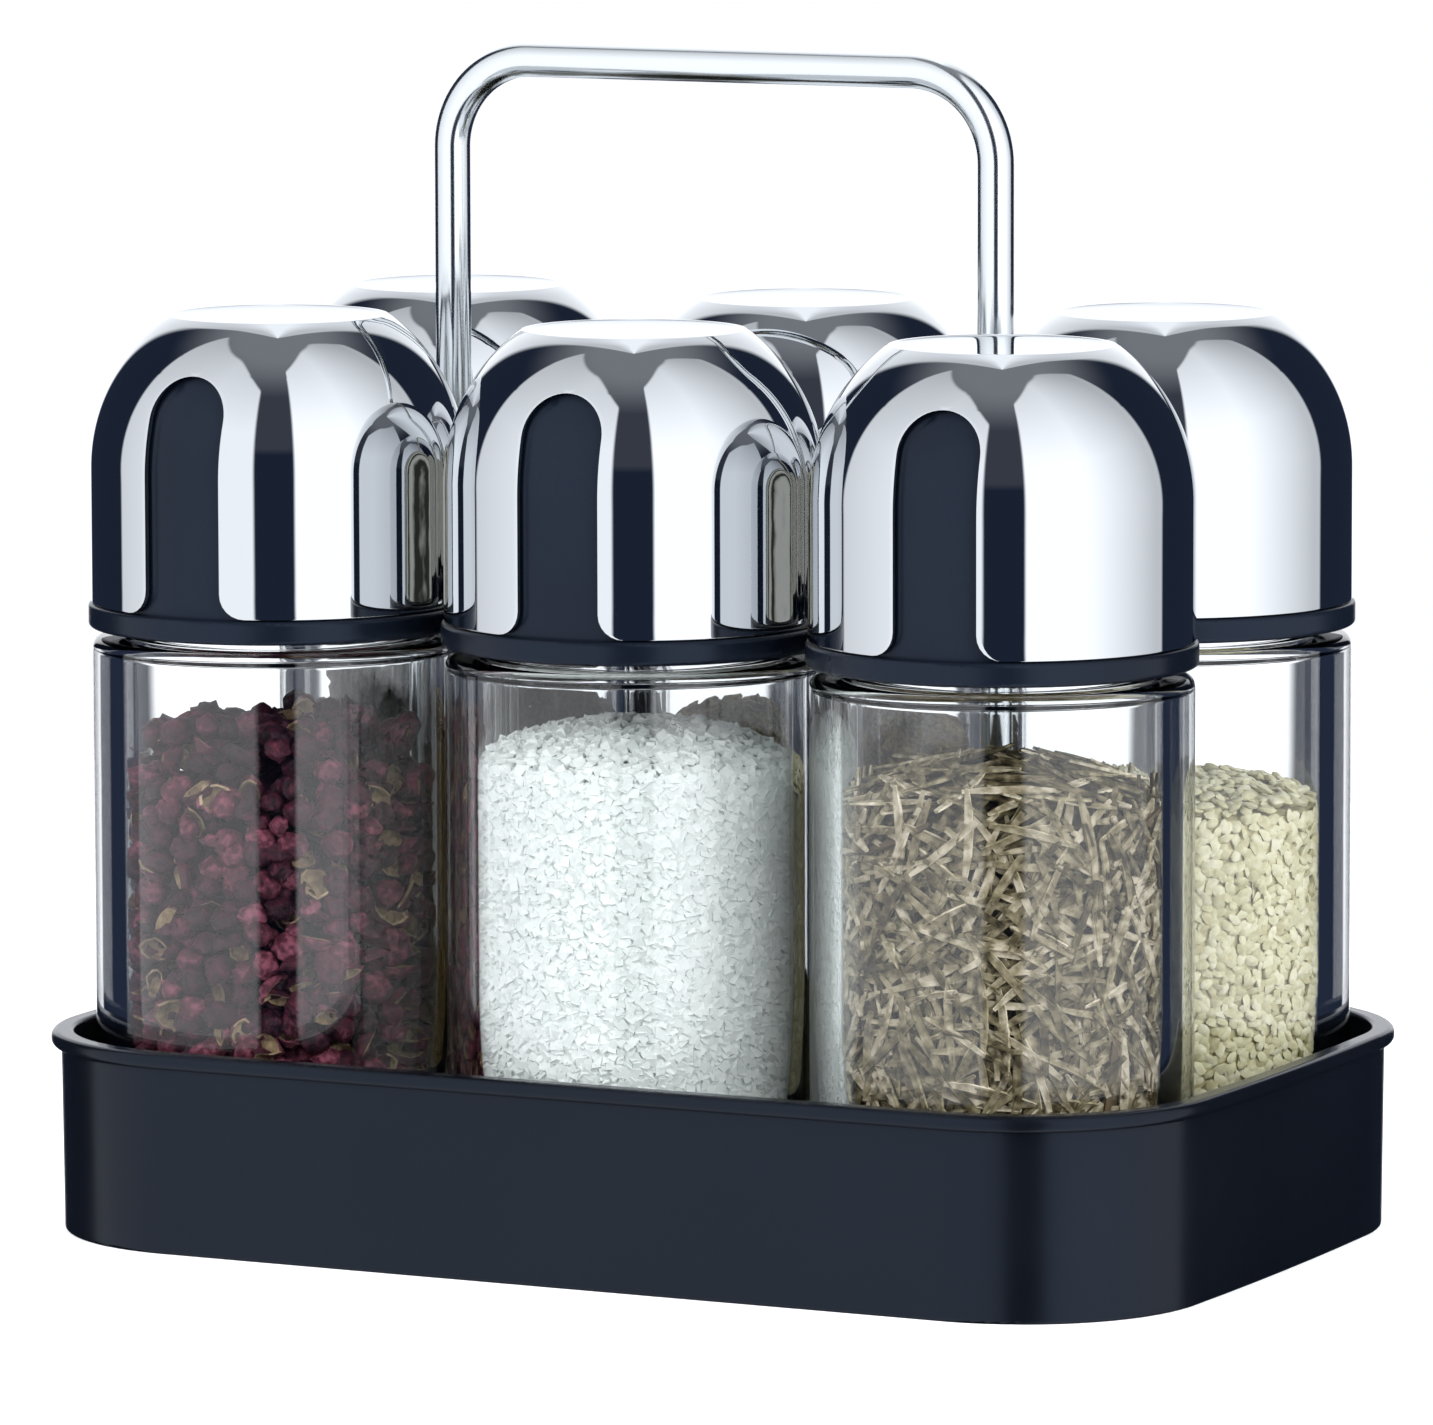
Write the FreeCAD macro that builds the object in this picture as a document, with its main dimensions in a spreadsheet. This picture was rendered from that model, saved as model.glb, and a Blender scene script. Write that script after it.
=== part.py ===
"""Six-jar spice rack: a black moulded tray, a bent-rod handle and six glass jars in two rows.

Each jar carries a threaded black cap with a dome, and a chrome shell that turns on the dome.
Millimetres, +Z up. The origin is on the table, under the middle of the tray. -Y is the front.
"""

import FreeCAD, Part
import math
import os
import re

import Sketcher

Vector = FreeCAD.Vector
Rotation = FreeCAD.Rotation

doc = FreeCAD.newDocument("spice_rack")

# ---------------------------------------------------------------- driving dimensions

DIMENSIONS = {
    # tray
    "tray_length": 171.6,
    "tray_width": 110.6,
    "tray_end_bow": 1.9,
    "tray_side_bow": 0.2,
    "tray_corner": 26.0,
    "tray_draft": 0.27,
    "tray_wall": 1.8,
    "skirt_height": 3.6,
    "floor_top": 6.0,
    "rim_underside": 25.9,
    "rim_height": 2.3,
    "rim_overhang": 1.4,
    "rim_roll": 1.0,
    "rim_inner_round": 0.6,
    "foot_round": 0.5,
    "cell_radius": 26.3,
    "cell_depth": 1.0,
    "jar_pitch": 55.2,
    "row_spacing": 54.0,
    # handle and its fixings
    "rod_radius": 2.5,
    "leg_spacing": 83.6,
    "handle_height": 162.2,
    "handle_bend": 12.5,
    "boss_radius": 3.4,
    "boss_height": 6.0,
    "boss_floor": 2.0,
    "leg_clearance": 0.06,
    "tapped_depth": 9.0,
    "screw_radius": 1.5,
    "thread_gap": 0.02,
    "washer_gap": 0.1,
    "screw_hole": 1.7,
    "head_radius": 2.8,
    "head_height": 2.0,
    "pan_round": 0.8,
    "recess_reach": 1.4,
    "recess_width": 0.8,
    "recess_depth": 1.1,
    "washer_thickness": 0.5,
    "foot_washer_radius": 3.5,
    "foot_screw_length": 11.0,
    # glass jar
    "glass_radius": 26.0,
    "heel_radius": 3.2,
    "glass_base": 5.0,
    "bore_radius": 21.7,
    "bore_foot_radius": 20.2,
    "bore_foot_height": 14.0,
    "bore_taper_height": 38.0,
    "inside_corner": 3.4,
    "shoulder_height": 83.3,
    "shoulder_radius": 1.5,
    "neck_radius": 21.0,
    "mouth_radius": 18.5,
    "mouth_height": 98.0,
    "throat_height": 83.4,
    "shoulder_inside": 81.0,
    "lip_round": 0.8,
    # thread of the jar and its cap
    "lead": 4.0,
    "thread_turned_height": 6.0,
    "thread_start": 87.5,
    "thread_crest": 22.1,
    "thread_root_half": 0.8,
    "thread_crest_half": 0.4,
    "thread_burial": 0.3,
    # cap
    "ring_radius": 26.5,
    "ring_bottom": 84.7,
    "ring_top": 88.0,
    "ring_round": 0.6,
    "cap_bore": 22.5,
    "cap_thread_crest": 21.4,
    "dome_radius": 24.8,
    "dome_wall": 1.5,
    "dome_centre": 106.8,
    "dome_top": 125.4,
    "dome_roof": 2.0,
    "dome_crown": 0.8,
    "ledge_height": 98.8,
    "ledge_thickness": 1.5,
    "ledge_opening": 19.0,
    "hub_radius": 3.0,
    "hub_clearance": 0.05,
    "hub_boss_radius": 6.0,
    "hub_end_gap": 0.1,
    "hub_bottom": 120.3,
    "window_width": 9.0,
    "window_bottom": 102.0,
    "window_top": 118.0,
    "sprinkle_radius": 1.3,
    "sprinkle_bottom": 104.0,
    "sprinkle_step": 2.5,
    "sprinkle_across": 3.0,
    "opening_angle": 120.0,
    # seal ring
    "seal_inner": 19.2,
    "seal_outer": 22.2,
    "seal_gap": 0.05,
    # chrome shell
    "shell_radius": 26.1,
    "shell_wall": 1.0,
    "shell_bottom": 88.2,
    "shell_top": 127.9,
    "dish_radius": 14.6,
    "dish_depth": 1.0,
    "crown_edge": 0.35,
    "tapped_roof": 0.6,
    "slot_width": 11.8,
    "slot_top": 121.0,
    "slot_flare": 3.4,
    "slot_overrun": 1.0,
    "pivot_washer_radius": 5.5,
    "pivot_screw_length": 4.7,
}

# how far each cap is turned as it stands, in degrees about +Z
CAP_TURN = {
    "front_left": -3.0,
    "front_middle": 2.5,
    "front_right": 4.0,
    "back_left": 0.0,
    "back_middle": 0.0,
    "back_right": 0.0,
}

sizes = doc.addObject("Spreadsheet::Sheet", "sizes")
for row, (alias, value) in enumerate(DIMENSIONS.items(), start=1):
    sizes.set(f"A{row}", alias)
    sizes.set(f"B{row}", str(value))
    sizes.setAlias(f"B{row}", alias)
doc.recompute()


def bound(formula):
    """A formula in the sheet's aliases, as FreeCAD's expression engine reads it."""
    def name_cell(word):
        return f"sizes.{word[0]}" if word[0] in DIMENSIONS else word[0]

    return re.sub(r"[a-z_]+", name_cell, formula)


def value_of(formula):
    """The same formula as a plain number, to draw the geometry where its constraints hold it."""
    return float(sizes.evalExpression(bound(formula)))


# ---------------------------------------------------------------- sketch and body helpers

GROUND = -1
START, END, CENTRE = 1, 2, 3


def new_body(name):
    body = doc.addObject("PartDesign::Body", name)
    body.Label = name
    return body


def new_sketch(body, name, plane="XZ_Plane", lift=None, turn=None):
    """A sketch on one of the body's own origin planes. lift is a formula along the plane's normal,
    turn one about the sketch's upright axis."""
    sketch = body.newObject("Sketcher::SketchObject", name)
    origin_plane = next(o for o in body.Origin.OriginFeatures if o.Role == plane)
    sketch.AttachmentSupport = [(origin_plane, "")]
    sketch.MapMode = "FlatFace"
    if turn:
        sketch.AttachmentOffset = FreeCAD.Placement(Vector(), Rotation(Vector(0, 1, 0), 0))
        sketch.setExpression("AttachmentOffset.Rotation.Angle", bound(turn))
    if lift:
        sketch.setExpression("AttachmentOffset.Base.z", bound(lift))
    doc.recompute()
    return sketch


def pin_point(sketch, geometry, point, across, up):
    """Holds a point of the sketch at two formulas, measured from the sketch's origin."""
    for kind, formula in (("DistanceX", across), ("DistanceY", up)):
        number = sketch.addConstraint(
            Sketcher.Constraint(kind, GROUND, 1, geometry, point, value_of(formula)))
        sketch.setExpression(f"Constraints[{number}]", bound(formula))


def size_radius(sketch, geometry, formula):
    number = sketch.addConstraint(Sketcher.Constraint("Radius", geometry, value_of(formula)))
    sketch.setExpression(f"Constraints[{number}]", bound(formula))


def outline(sketch, corners, arcs=None):
    """A closed outline through (across, up) corners. arcs gives, for the side that starts at a corner,
    the centre of the circle it follows and the way it turns."""
    arcs = arcs or {}
    spots = [Vector(value_of(a), value_of(u), 0) for a, u in corners]
    count = len(spots)
    for index, spot in enumerate(spots):
        following = spots[(index + 1) % count]
        if index not in arcs:
            sketch.addGeometry(Part.LineSegment(spot, following), False)
            continue
        across, up, clockwise = arcs[index]
        centre = Vector(value_of(across), value_of(up), 0)
        radius = (spot - centre).Length
        angles = [math.atan2(p.y - centre.y, p.x - centre.x) for p in (spot, following)]
        if clockwise:
            angles.reverse()
        circle = Part.Circle(centre, Vector(0, 0, 1), radius)
        sketch.addGeometry(Part.ArcOfCircle(circle, angles[0], angles[1]), False)

    def end_points(index):
        turned = index in arcs and arcs[index][2]
        return (END, START) if turned else (START, END)

    for index in range(count):
        following = (index + 1) % count
        sketch.addConstraint(Sketcher.Constraint(
            "Coincident", index, end_points(index)[1], following, end_points(following)[0]))
        pin_point(sketch, index, end_points(index)[0], *corners[index])
        if index in arcs:
            across, up, _ = arcs[index]
            kind, formula = ("DistanceX", across)
            if abs(spots[index].y - spots[following].y) < abs(spots[index].x - spots[following].x):
                kind, formula = ("DistanceY", up)
            number = sketch.addConstraint(
                Sketcher.Constraint(kind, GROUND, 1, index, CENTRE, value_of(formula)))
            sketch.setExpression(f"Constraints[{number}]", bound(formula))
    doc.recompute()


def circles(sketch, spots):
    """Circles given as (across, up, radius) formulas."""
    for index, (across, up, radius) in enumerate(spots):
        centre = Vector(value_of(across), value_of(up), 0)
        sketch.addGeometry(Part.Circle(centre, Vector(0, 0, 1), value_of(radius)), False)
        pin_point(sketch, index, CENTRE, across, up)
        size_radius(sketch, index, radius)
    doc.recompute()


def revolve(body, name, corners, arcs=None):
    """A full turn of a profile about the body's upright axis."""
    sketch = new_sketch(body, name + "_profile")
    outline(sketch, corners, arcs)
    feature = body.newObject("PartDesign::Revolution", name)
    feature.Profile = sketch
    feature.ReferenceAxis = (sketch, ["V_Axis"])
    feature.Angle = 360
    doc.recompute()
    return feature


def extrude(body, kind, name, sketch, length, backwards=False):
    """A Pad or a Pocket. The body has to gain or lose volume, or the direction is wrong."""
    before = body.Shape.Volume if body.Tip else 0.0
    feature = body.newObject("PartDesign::" + kind, name)
    feature.Profile = sketch
    feature.setExpression("Length", bound(length))
    feature.Reversed = backwards
    doc.recompute()
    gained = body.Shape.Volume - before
    if (gained <= 0) == (kind == "Pad") or abs(gained) < 1e-6:
        raise RuntimeError(f"{name} changed the volume of {body.Label} by {gained:.3f}")
    return feature


def ring_edges(feature, radius, height):
    """Names of the full-circle edges of a radius at a height."""
    names = []
    for index, edge in enumerate(feature.Shape.Edges, start=1):
        curve = edge.Curve
        if isinstance(curve, Part.Circle) and abs(curve.Radius - value_of(radius)) < 1e-4:
            if abs(curve.Center.z - value_of(height)) < 1e-4:
                names.append(f"Edge{index}")
    return names


def round_edges(body, name, base, names, radius):
    feature = body.newObject("PartDesign::Fillet", name)
    feature.Base = (base, names)
    feature.setExpression("Radius", bound(radius))
    doc.recompute()
    return feature


def placed(name, master, across=0.0, along=0.0, up=0.0, turn=0.0):
    """One more piece like the master, standing at its own place."""
    link = doc.addObject("App::Link", name)
    link.LinkedObject = master
    link.Label = name
    link.Placement = FreeCAD.Placement(
        Vector(across, along, up), Rotation(Vector(0, 0, 1), turn))
    return link


# ---------------------------------------------------------------- tray

def bowed_outline(body, name, grown, lift):
    """The tray's plan: two nearly straight sides and two bowed ends, joined by tangent corners.
    Each side is an arc whose sagitta over the full length is its bow."""
    sketch = new_sketch(body, name, "XY_Plane", lift)
    half_length = f"(tray_length / 2 + {grown})"
    half_width = f"(tray_width / 2 + {grown})"
    end_radius = f"(tray_width * tray_width / (8 * tray_end_bow) + tray_end_bow / 2 + {grown})"
    side_radius = f"(tray_length * tray_length / (8 * tray_side_bow) + tray_side_bow / 2 + {grown})"
    corner_radius = f"(tray_corner + {grown})"
    r_end, r_side, r_corner = map(value_of, (end_radius, side_radius, corner_radius))
    x_end = value_of(half_length) - r_end
    y_side = value_of(half_width) - r_side

    # the corner's centre is r_end - r_corner from the end arc's centre, and likewise for the side arc
    reach_end, reach_side = r_end - r_corner, r_side - r_corner
    span = math.hypot(x_end, y_side)
    along_span = (reach_end**2 - reach_side**2 + span**2) / (2 * span)
    off_span = math.sqrt(reach_end**2 - along_span**2)
    toward = Vector(-x_end, y_side, 0) / span
    corner = Vector(x_end, 0, 0) + toward * along_span + Vector(-toward.y, toward.x, 0) * off_span
    if corner.x < 0 or corner.y < 0:
        corner = Vector(x_end, 0, 0) + toward * along_span - Vector(-toward.y, toward.x, 0) * off_span
    end_angle = math.atan2(corner.y, corner.x - x_end)
    side_angle = math.atan2(corner.y - y_side, corner.x)

    quarter = math.pi / 2
    arcs = []
    for number in range(4):
        mirror_x = 1 if number in (0, 3) else -1
        mirror_y = 1 if number in (0, 1) else -1
        centre = Vector(mirror_x * corner.x, mirror_y * corner.y, 0)
        first, last = end_angle, side_angle
        if number in (1, 3):
            first, last = quarter - side_angle, quarter - end_angle
        turned = quarter * number
        arcs.append((centre, r_corner, first + turned, last + turned))
        if number in (0, 2):
            middle = Vector(0, mirror_y * y_side, 0)
            arcs.append((middle, r_side, side_angle + turned, math.pi - side_angle + turned))
        else:
            middle = Vector(mirror_x * x_end, 0, 0)
            arcs.append((middle, r_end, math.pi - end_angle + turned - quarter,
                         math.pi + end_angle + turned - quarter))
    for centre, radius, first, last in arcs:
        circle = Part.Circle(centre, Vector(0, 0, 1), radius)
        sketch.addGeometry(Part.ArcOfCircle(circle, first, last), False)
    for index in range(8):
        sketch.addConstraint(Sketcher.Constraint("Tangent", index, END, (index + 1) % 8, START))
    for index in range(0, 8, 2):
        size_radius(sketch, index, corner_radius)
    for index, sign in ((1, 1), (5, -1)):
        size_radius(sketch, index, side_radius)
        pin_point(sketch, index, CENTRE, "0", f"{sign} * ({half_width} - {side_radius})")
    for index, sign in ((3, -1), (7, 1)):
        size_radius(sketch, index, end_radius)
        pin_point(sketch, index, CENTRE, f"{sign} * ({half_length} - {end_radius})", "0")
    doc.recompute()
    return sketch


def loft(body, kind, name, lower, upper):
    feature = body.newObject("PartDesign::" + kind, name)
    feature.Profile = lower
    feature.Sections = [upper]
    feature.Ruled = True
    doc.recompute()
    return feature


def level_edges(feature, height, grown):
    """Names of the edges of the tray's outline, grown by that much, at a height. Each of its eight arcs
    is as far from the base outline's arc of the same kind as the outline has grown."""
    end = "tray_width * tray_width / (8 * tray_end_bow) + tray_end_bow / 2"
    side = "tray_length * tray_length / (8 * tray_side_bow) + tray_side_bow / 2"
    radii = [value_of(f"{base} + {grown}") for base in ("tray_corner", end, side)]
    names = []
    for number, edge in enumerate(feature.Shape.Edges, start=1):
        level = edge.BoundBox.ZLength < 1e-6 and abs(edge.BoundBox.ZMin - value_of(height)) < 1e-4
        if level and any(abs(arc_radius(edge) - radius) < 1e-3 for radius in radii):
            names.append(f"Edge{number}")
    return names


def arc_radius(edge):
    """An arc's radius from its two ends and its middle, because a loft keeps no circles."""
    first, last = edge.FirstParameter, edge.LastParameter
    a, b, c = (edge.valueAt(first + (last - first) * share) for share in (0, 0.5, 1))
    doubled_area = (b - a).cross(c - a).Length
    return (b - a).Length * (c - b).Length * (a - c).Length / (2 * doubled_area)


def make_tray():
    body = new_body("tray")
    foot = bowed_outline(body, "foot_outline", "0", "0")
    under_rim = bowed_outline(body, "under_rim_outline", "tray_draft", "rim_underside")
    loft(body, "AdditiveLoft", "wall", foot, under_rim)

    rim_outline = bowed_outline(body, "rim_outline", "(tray_draft + rim_overhang)", "rim_underside")
    rim = extrude(body, "Pad", "rim", rim_outline, "rim_height")
    outer = level_edges(rim, "rim_underside", "tray_draft + rim_overhang")
    outer += level_edges(rim, "rim_underside + rim_height", "tray_draft + rim_overhang")
    rolled = round_edges(body, "rolled_lip", rim, outer, "rim_roll")
    round_edges(body, "foot_edge", rolled, level_edges(rolled, "0", "0"), "foot_round")

    inside_low = bowed_outline(body, "cavity_floor", "(-tray_wall)", "floor_top")
    inside_high = bowed_outline(
        body, "cavity_mouth", "(tray_draft - tray_wall)", "rim_underside + rim_height")
    cavity = loft(body, "SubtractiveLoft", "cavity", inside_low, inside_high)
    mouth = level_edges(cavity, "rim_underside + rim_height", "tray_draft - tray_wall")
    round_edges(body, "rim_inner_edge", cavity, mouth, "rim_inner_round")

    hollow = bowed_outline(body, "skirt_outline", "(-tray_wall)", "0")
    extrude(body, "Pocket", "skirt_hollow", hollow, "skirt_height", backwards=True)

    cells = new_sketch(body, "cell_circles", "XY_Plane", "floor_top")
    circles(cells, [(f"{i} * jar_pitch", f"{j} * row_spacing / 2", "cell_radius")
                    for j in (-1, 1) for i in (-1, 0, 1)])
    extrude(body, "Pocket", "jar_cells", cells, "cell_depth")

    def at_legs(radius):
        return [(f"{side} * leg_spacing / 2", "0", radius) for side in (-1, 1)]

    bosses = new_sketch(body, "boss_circles", "XY_Plane", "floor_top")
    circles(bosses, at_legs("boss_radius"))
    extrude(body, "Pad", "bosses", bosses, "boss_height")
    sockets = new_sketch(body, "socket_circles", "XY_Plane", "floor_top + boss_height")
    circles(sockets, at_legs("rod_radius + leg_clearance"))
    extrude(body, "Pocket", "leg_sockets", sockets, "boss_height - boss_floor")
    holes = new_sketch(body, "screw_hole_circles", "XY_Plane", "floor_top + boss_floor")
    circles(holes, at_legs("screw_hole"))
    extrude(body, "Pocket", "screw_holes", holes, "floor_top + boss_floor - skirt_height")
    return body


tray = make_tray()

# ---------------------------------------------------------------- handle

def make_handle():
    body = new_body("handle")
    half = "leg_spacing / 2"
    foot = "(floor_top + boss_floor)"
    path = new_sketch(body, "handle_path")
    half_leg, top, bend, low = map(value_of, (half, "handle_height", "handle_bend", foot))
    quarter = math.pi / 2
    bar_end = half_leg - bend
    left_bend = Part.Circle(Vector(-bar_end, top - bend, 0), Vector(0, 0, 1), bend)
    right_bend = Part.Circle(Vector(bar_end, top - bend, 0), Vector(0, 0, 1), bend)
    for stretch in (
            Part.LineSegment(Vector(-half_leg, low, 0), Vector(-half_leg, top - bend, 0)),
            Part.ArcOfCircle(left_bend, quarter, math.pi),
            Part.LineSegment(Vector(-bar_end, top, 0), Vector(bar_end, top, 0)),
            Part.ArcOfCircle(right_bend, 0, quarter),
            Part.LineSegment(Vector(half_leg, top - bend, 0), Vector(half_leg, low, 0))):
        path.addGeometry(stretch, False)
    joins = ((0, END, 1, END), (1, START, 2, START), (2, END, 3, END), (3, START, 4, START))
    for first, first_end, second, second_end in joins:
        path.addConstraint(Sketcher.Constraint("Tangent", first, first_end, second, second_end))
    pin_point(path, 0, START, f"-{half}", foot)
    pin_point(path, 4, END, half, foot)
    pin_point(path, 1, CENTRE, f"handle_bend - {half}", "handle_height - handle_bend")
    pin_point(path, 3, CENTRE, f"{half} - handle_bend", "handle_height - handle_bend")
    doc.recompute()

    section = new_sketch(body, "rod_section", "XY_Plane", foot)
    circles(section, [(f"-{half}", "0", "rod_radius")])
    rod = body.newObject("PartDesign::AdditivePipe", "rod")
    rod.Profile = section
    rod.Spine = path
    doc.recompute()

    tapped = new_sketch(body, "tapped_circles", "XY_Plane", foot)
    circles(tapped, [(f"{side} * {half}", "0", "screw_radius + thread_gap") for side in (-1, 1)])
    extrude(body, "Pocket", "tapped_ends", tapped, "tapped_depth", backwards=True)
    return body


handle = make_handle()

# ---------------------------------------------------------------- screws and washers

def make_screw(name, length):
    """A pan-head screw, head down, with a cross recess. Its head's bearing face is at z = 0."""
    body = new_body(name)
    head_circle = new_sketch(body, "head_circle", "XY_Plane", "-head_height")
    circles(head_circle, [("0", "0", "head_radius")])
    head = extrude(body, "Pad", "head", head_circle, "head_height")
    round_edges(body, "pan", head, ring_edges(head, "head_radius", "-head_height"), "pan_round")
    shank_circle = new_sketch(body, "shank_circle", "XY_Plane")
    circles(shank_circle, [("0", "0", "screw_radius")])
    extrude(body, "Pad", "shank", shank_circle, length)

    cross = new_sketch(body, "cross_outline", "XY_Plane", "-head_height")
    arm, half = "recess_reach", "recess_width / 2"
    quarter = [(arm, half), (half, half), (half, arm)]
    corners = []
    for _ in range(4):
        corners += quarter
        quarter = [(f"-({up})", across) for across, up in quarter]
    outline(cross, corners)
    extrude(body, "Pocket", "cross_recess", cross, "recess_depth", backwards=True)
    return body


def make_washer(name, radius):
    body = new_body(name)
    sketch = new_sketch(body, "flat_" + name, "XY_Plane")
    circles(sketch, [("0", "0", radius), ("0", "0", "screw_radius + washer_gap")])
    extrude(body, "Pad", "disc_" + name, sketch, "washer_thickness")
    return body


foot_screw = make_screw("foot_screw", "foot_screw_length")
foot_washer = make_washer("foot_washer", "foot_washer_radius")
pivot_screw = make_screw("pivot_screw", "pivot_screw_length")
pivot_washer = make_washer("pivot_washer", "pivot_washer_radius")

# ---------------------------------------------------------------- glass jar

def thread_ridge(body, name, root, crest, start):
    """A right-hand ridge wound about the body's axis, with its root buried in the wall."""
    sketch = new_sketch(body, name + "_tooth")
    outline(sketch, [
        (root, f"{start} - thread_root_half"), (crest, f"{start} - thread_crest_half"),
        (crest, f"{start} + thread_crest_half"), (root, f"{start} + thread_root_half")])
    helix = body.newObject("PartDesign::AdditiveHelix", name)
    helix.Profile = sketch
    helix.ReferenceAxis = (sketch, ["V_Axis"])
    helix.Mode = "pitch-height-angle"
    helix.setExpression("Pitch", bound("lead"))
    helix.setExpression("Height", bound("thread_turned_height"))
    helix.LeftHanded = False
    helix.Reversed = False
    doc.recompute()
    return helix


def make_jar():
    body = new_body("glass_jar")
    base = "(floor_top - cell_depth)"
    glass = revolve(body, "pressed_glass", [
        ("0", base), ("glass_radius", base), ("glass_radius", "shoulder_height"),
        ("neck_radius", "shoulder_height"), ("neck_radius", "mouth_height"),
        ("mouth_radius", "mouth_height"), ("mouth_radius", "throat_height"),
        ("bore_radius", "shoulder_inside"), ("bore_radius", "bore_taper_height"),
        ("bore_foot_radius", "bore_foot_height"), ("bore_foot_radius", f"{base} + glass_base"),
        ("0", f"{base} + glass_base")])
    heel = round_edges(body, "heel", glass, ring_edges(glass, "glass_radius", base), "heel_radius")
    shoulder = round_edges(body, "shoulder", heel,
                           ring_edges(heel, "glass_radius", "shoulder_height"), "shoulder_radius")
    corner = round_edges(body, "inside_corner", shoulder,
                         ring_edges(shoulder, "bore_foot_radius", f"{base} + glass_base"), "inside_corner")
    lip_edges = (ring_edges(corner, "mouth_radius", "mouth_height")
                 + ring_edges(corner, "neck_radius", "mouth_height"))
    round_edges(body, "lip", corner, lip_edges, "lip_round")
    thread_ridge(body, "jar_thread", "neck_radius - thread_burial", "thread_crest", "thread_start")
    return body


glass_jar = make_jar()

# ---------------------------------------------------------------- cap

def truncated(radius, height):
    """Where a dome of that radius, centred on the dome's centre, reaches a height."""
    return f"sqrt({radius} * {radius} - ({height} - dome_centre) * ({height} - dome_centre))"


def make_cap():
    body = new_body("cap_base")
    inner = "(dome_radius - dome_wall)"
    roof = "(dome_top - dome_roof)"
    hub_bore = "(hub_radius + hub_clearance)"
    cap = revolve(body, "moulded_cap", [
        ("cap_bore", "ring_bottom"), ("ring_radius", "ring_bottom"), ("ring_radius", "ring_top"),
        ("dome_radius", "ring_top"), ("dome_radius", "dome_centre"),
        (truncated("dome_radius", "dome_top"), "dome_top"), (hub_bore, "dome_top"),
        (hub_bore, "hub_bottom + hub_end_gap"), ("hub_boss_radius", "hub_bottom + hub_end_gap"),
        ("hub_boss_radius", roof), (truncated(inner, roof), roof), (inner, "dome_centre"),
        (inner, "ledge_height + ledge_thickness"), ("ledge_opening", "ledge_height + ledge_thickness"),
        ("ledge_opening", "ledge_height"), ("cap_bore", "ledge_height")],
        {4: ("0", "dome_centre", False), 10: ("0", "dome_centre", True)})
    ring = round_edges(body, "ring_rounds", cap,
                       ring_edges(cap, "ring_radius", "ring_bottom")
                       + ring_edges(cap, "ring_radius", "ring_top"), "ring_round")
    round_edges(body, "dome_crown", ring,
                ring_edges(ring, truncated("dome_radius", "dome_top"), "dome_top"), "dome_crown")

    window = new_sketch(body, "window_outline", turn="opening_angle")
    half = "window_width / 2"
    low, high = f"window_bottom + {half}", f"window_top - {half}"
    outline(window, [(f"-{half}", low), (half, low), (half, high), (f"-{half}", high)],
            {0: ("0", low, False), 2: ("0", high, False)})
    extrude(body, "Pocket", "pour_window", window, "ring_radius", backwards=True)

    holes = new_sketch(body, "sprinkle_circles", turn="-opening_angle")
    rows = ((-1, 1), (0,), (-1, 1), (0,), (-1, 1))
    circles(holes, [
        (f"{side} * sprinkle_across", f"sprinkle_bottom + {row} * sprinkle_step", "sprinkle_radius")
        for row, sides in enumerate(rows) for side in sides])
    extrude(body, "Pocket", "sprinkle_holes", holes, "ring_radius", backwards=True)

    thread_ridge(body, "cap_thread", "cap_bore + thread_burial", "cap_thread_crest",
                 "(thread_start - lead / 2)")
    return body


cap_base = make_cap()

# ---------------------------------------------------------------- seal ring

def make_seal():
    body = new_body("seal_ring")
    low, high = "mouth_height + seal_gap", "ledge_height - seal_gap"
    revolve(body, "silicone", [
        ("seal_inner", low), ("seal_outer", low), ("seal_outer", high), ("seal_inner", high)])
    return body


seal_ring = make_seal()

# ---------------------------------------------------------------- chrome shell

def make_shell():
    body = new_body("chrome_shell")
    inner = "(shell_radius - shell_wall)"
    under = "(shell_top - dish_depth - shell_wall)"
    hole = "(screw_radius + thread_gap)"
    shell = revolve(body, "spun_shell", [
        (inner, "shell_bottom"), ("shell_radius", "shell_bottom"), ("shell_radius", "dome_centre"),
        (truncated("shell_radius", "shell_top"), "shell_top"), ("dish_radius", "shell_top"),
        ("0", "shell_top - dish_depth"), ("0", f"{under} - tapped_roof"), (hole, f"{under} - tapped_roof"),
        (hole, "hub_bottom"), ("hub_radius", "hub_bottom"), ("hub_radius", under),
        (truncated(inner, under), under), (inner, "dome_centre")],
        {2: ("0", "dome_centre", False), 11: ("0", "dome_centre", True)})
    round_edges(body, "crown_edge", shell,
                ring_edges(shell, truncated("shell_radius", "shell_top"), "shell_top"), "crown_edge")

    slot = new_sketch(body, "slot_outline")
    half = "slot_width / 2"
    wide = f"({half} + slot_flare)"
    foot, knee = "shell_bottom", "shell_bottom + slot_flare"
    below = "shell_bottom - slot_overrun"
    crown = f"slot_top - {half}"
    outline(slot, [
        (f"-{wide}", below), (wide, below), (wide, foot), (half, knee),
        (half, crown), (f"-{half}", crown), (f"-{half}", knee), (f"-{wide}", foot)],
        {2: (wide, knee, True), 4: ("0", crown, False), 6: (f"-{wide}", knee, True)})
    extrude(body, "Pocket", "spout_slot", slot, "ring_radius", backwards=True)
    return body


chrome_shell = make_shell()

# ---------------------------------------------------------------- assembly

pieces = [tray, handle]
leg = value_of("leg_spacing / 2")
floor_underside = value_of("skirt_height")
washer = value_of("washer_thickness")
for side, sign in (("left", -1), ("right", 1)):
    pieces.append(placed(f"handle_washer_{side}", foot_washer, sign * leg, 0, floor_underside - washer))
    pieces.append(placed(f"handle_screw_{side}", foot_screw, sign * leg, 0, floor_underside - washer))

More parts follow.
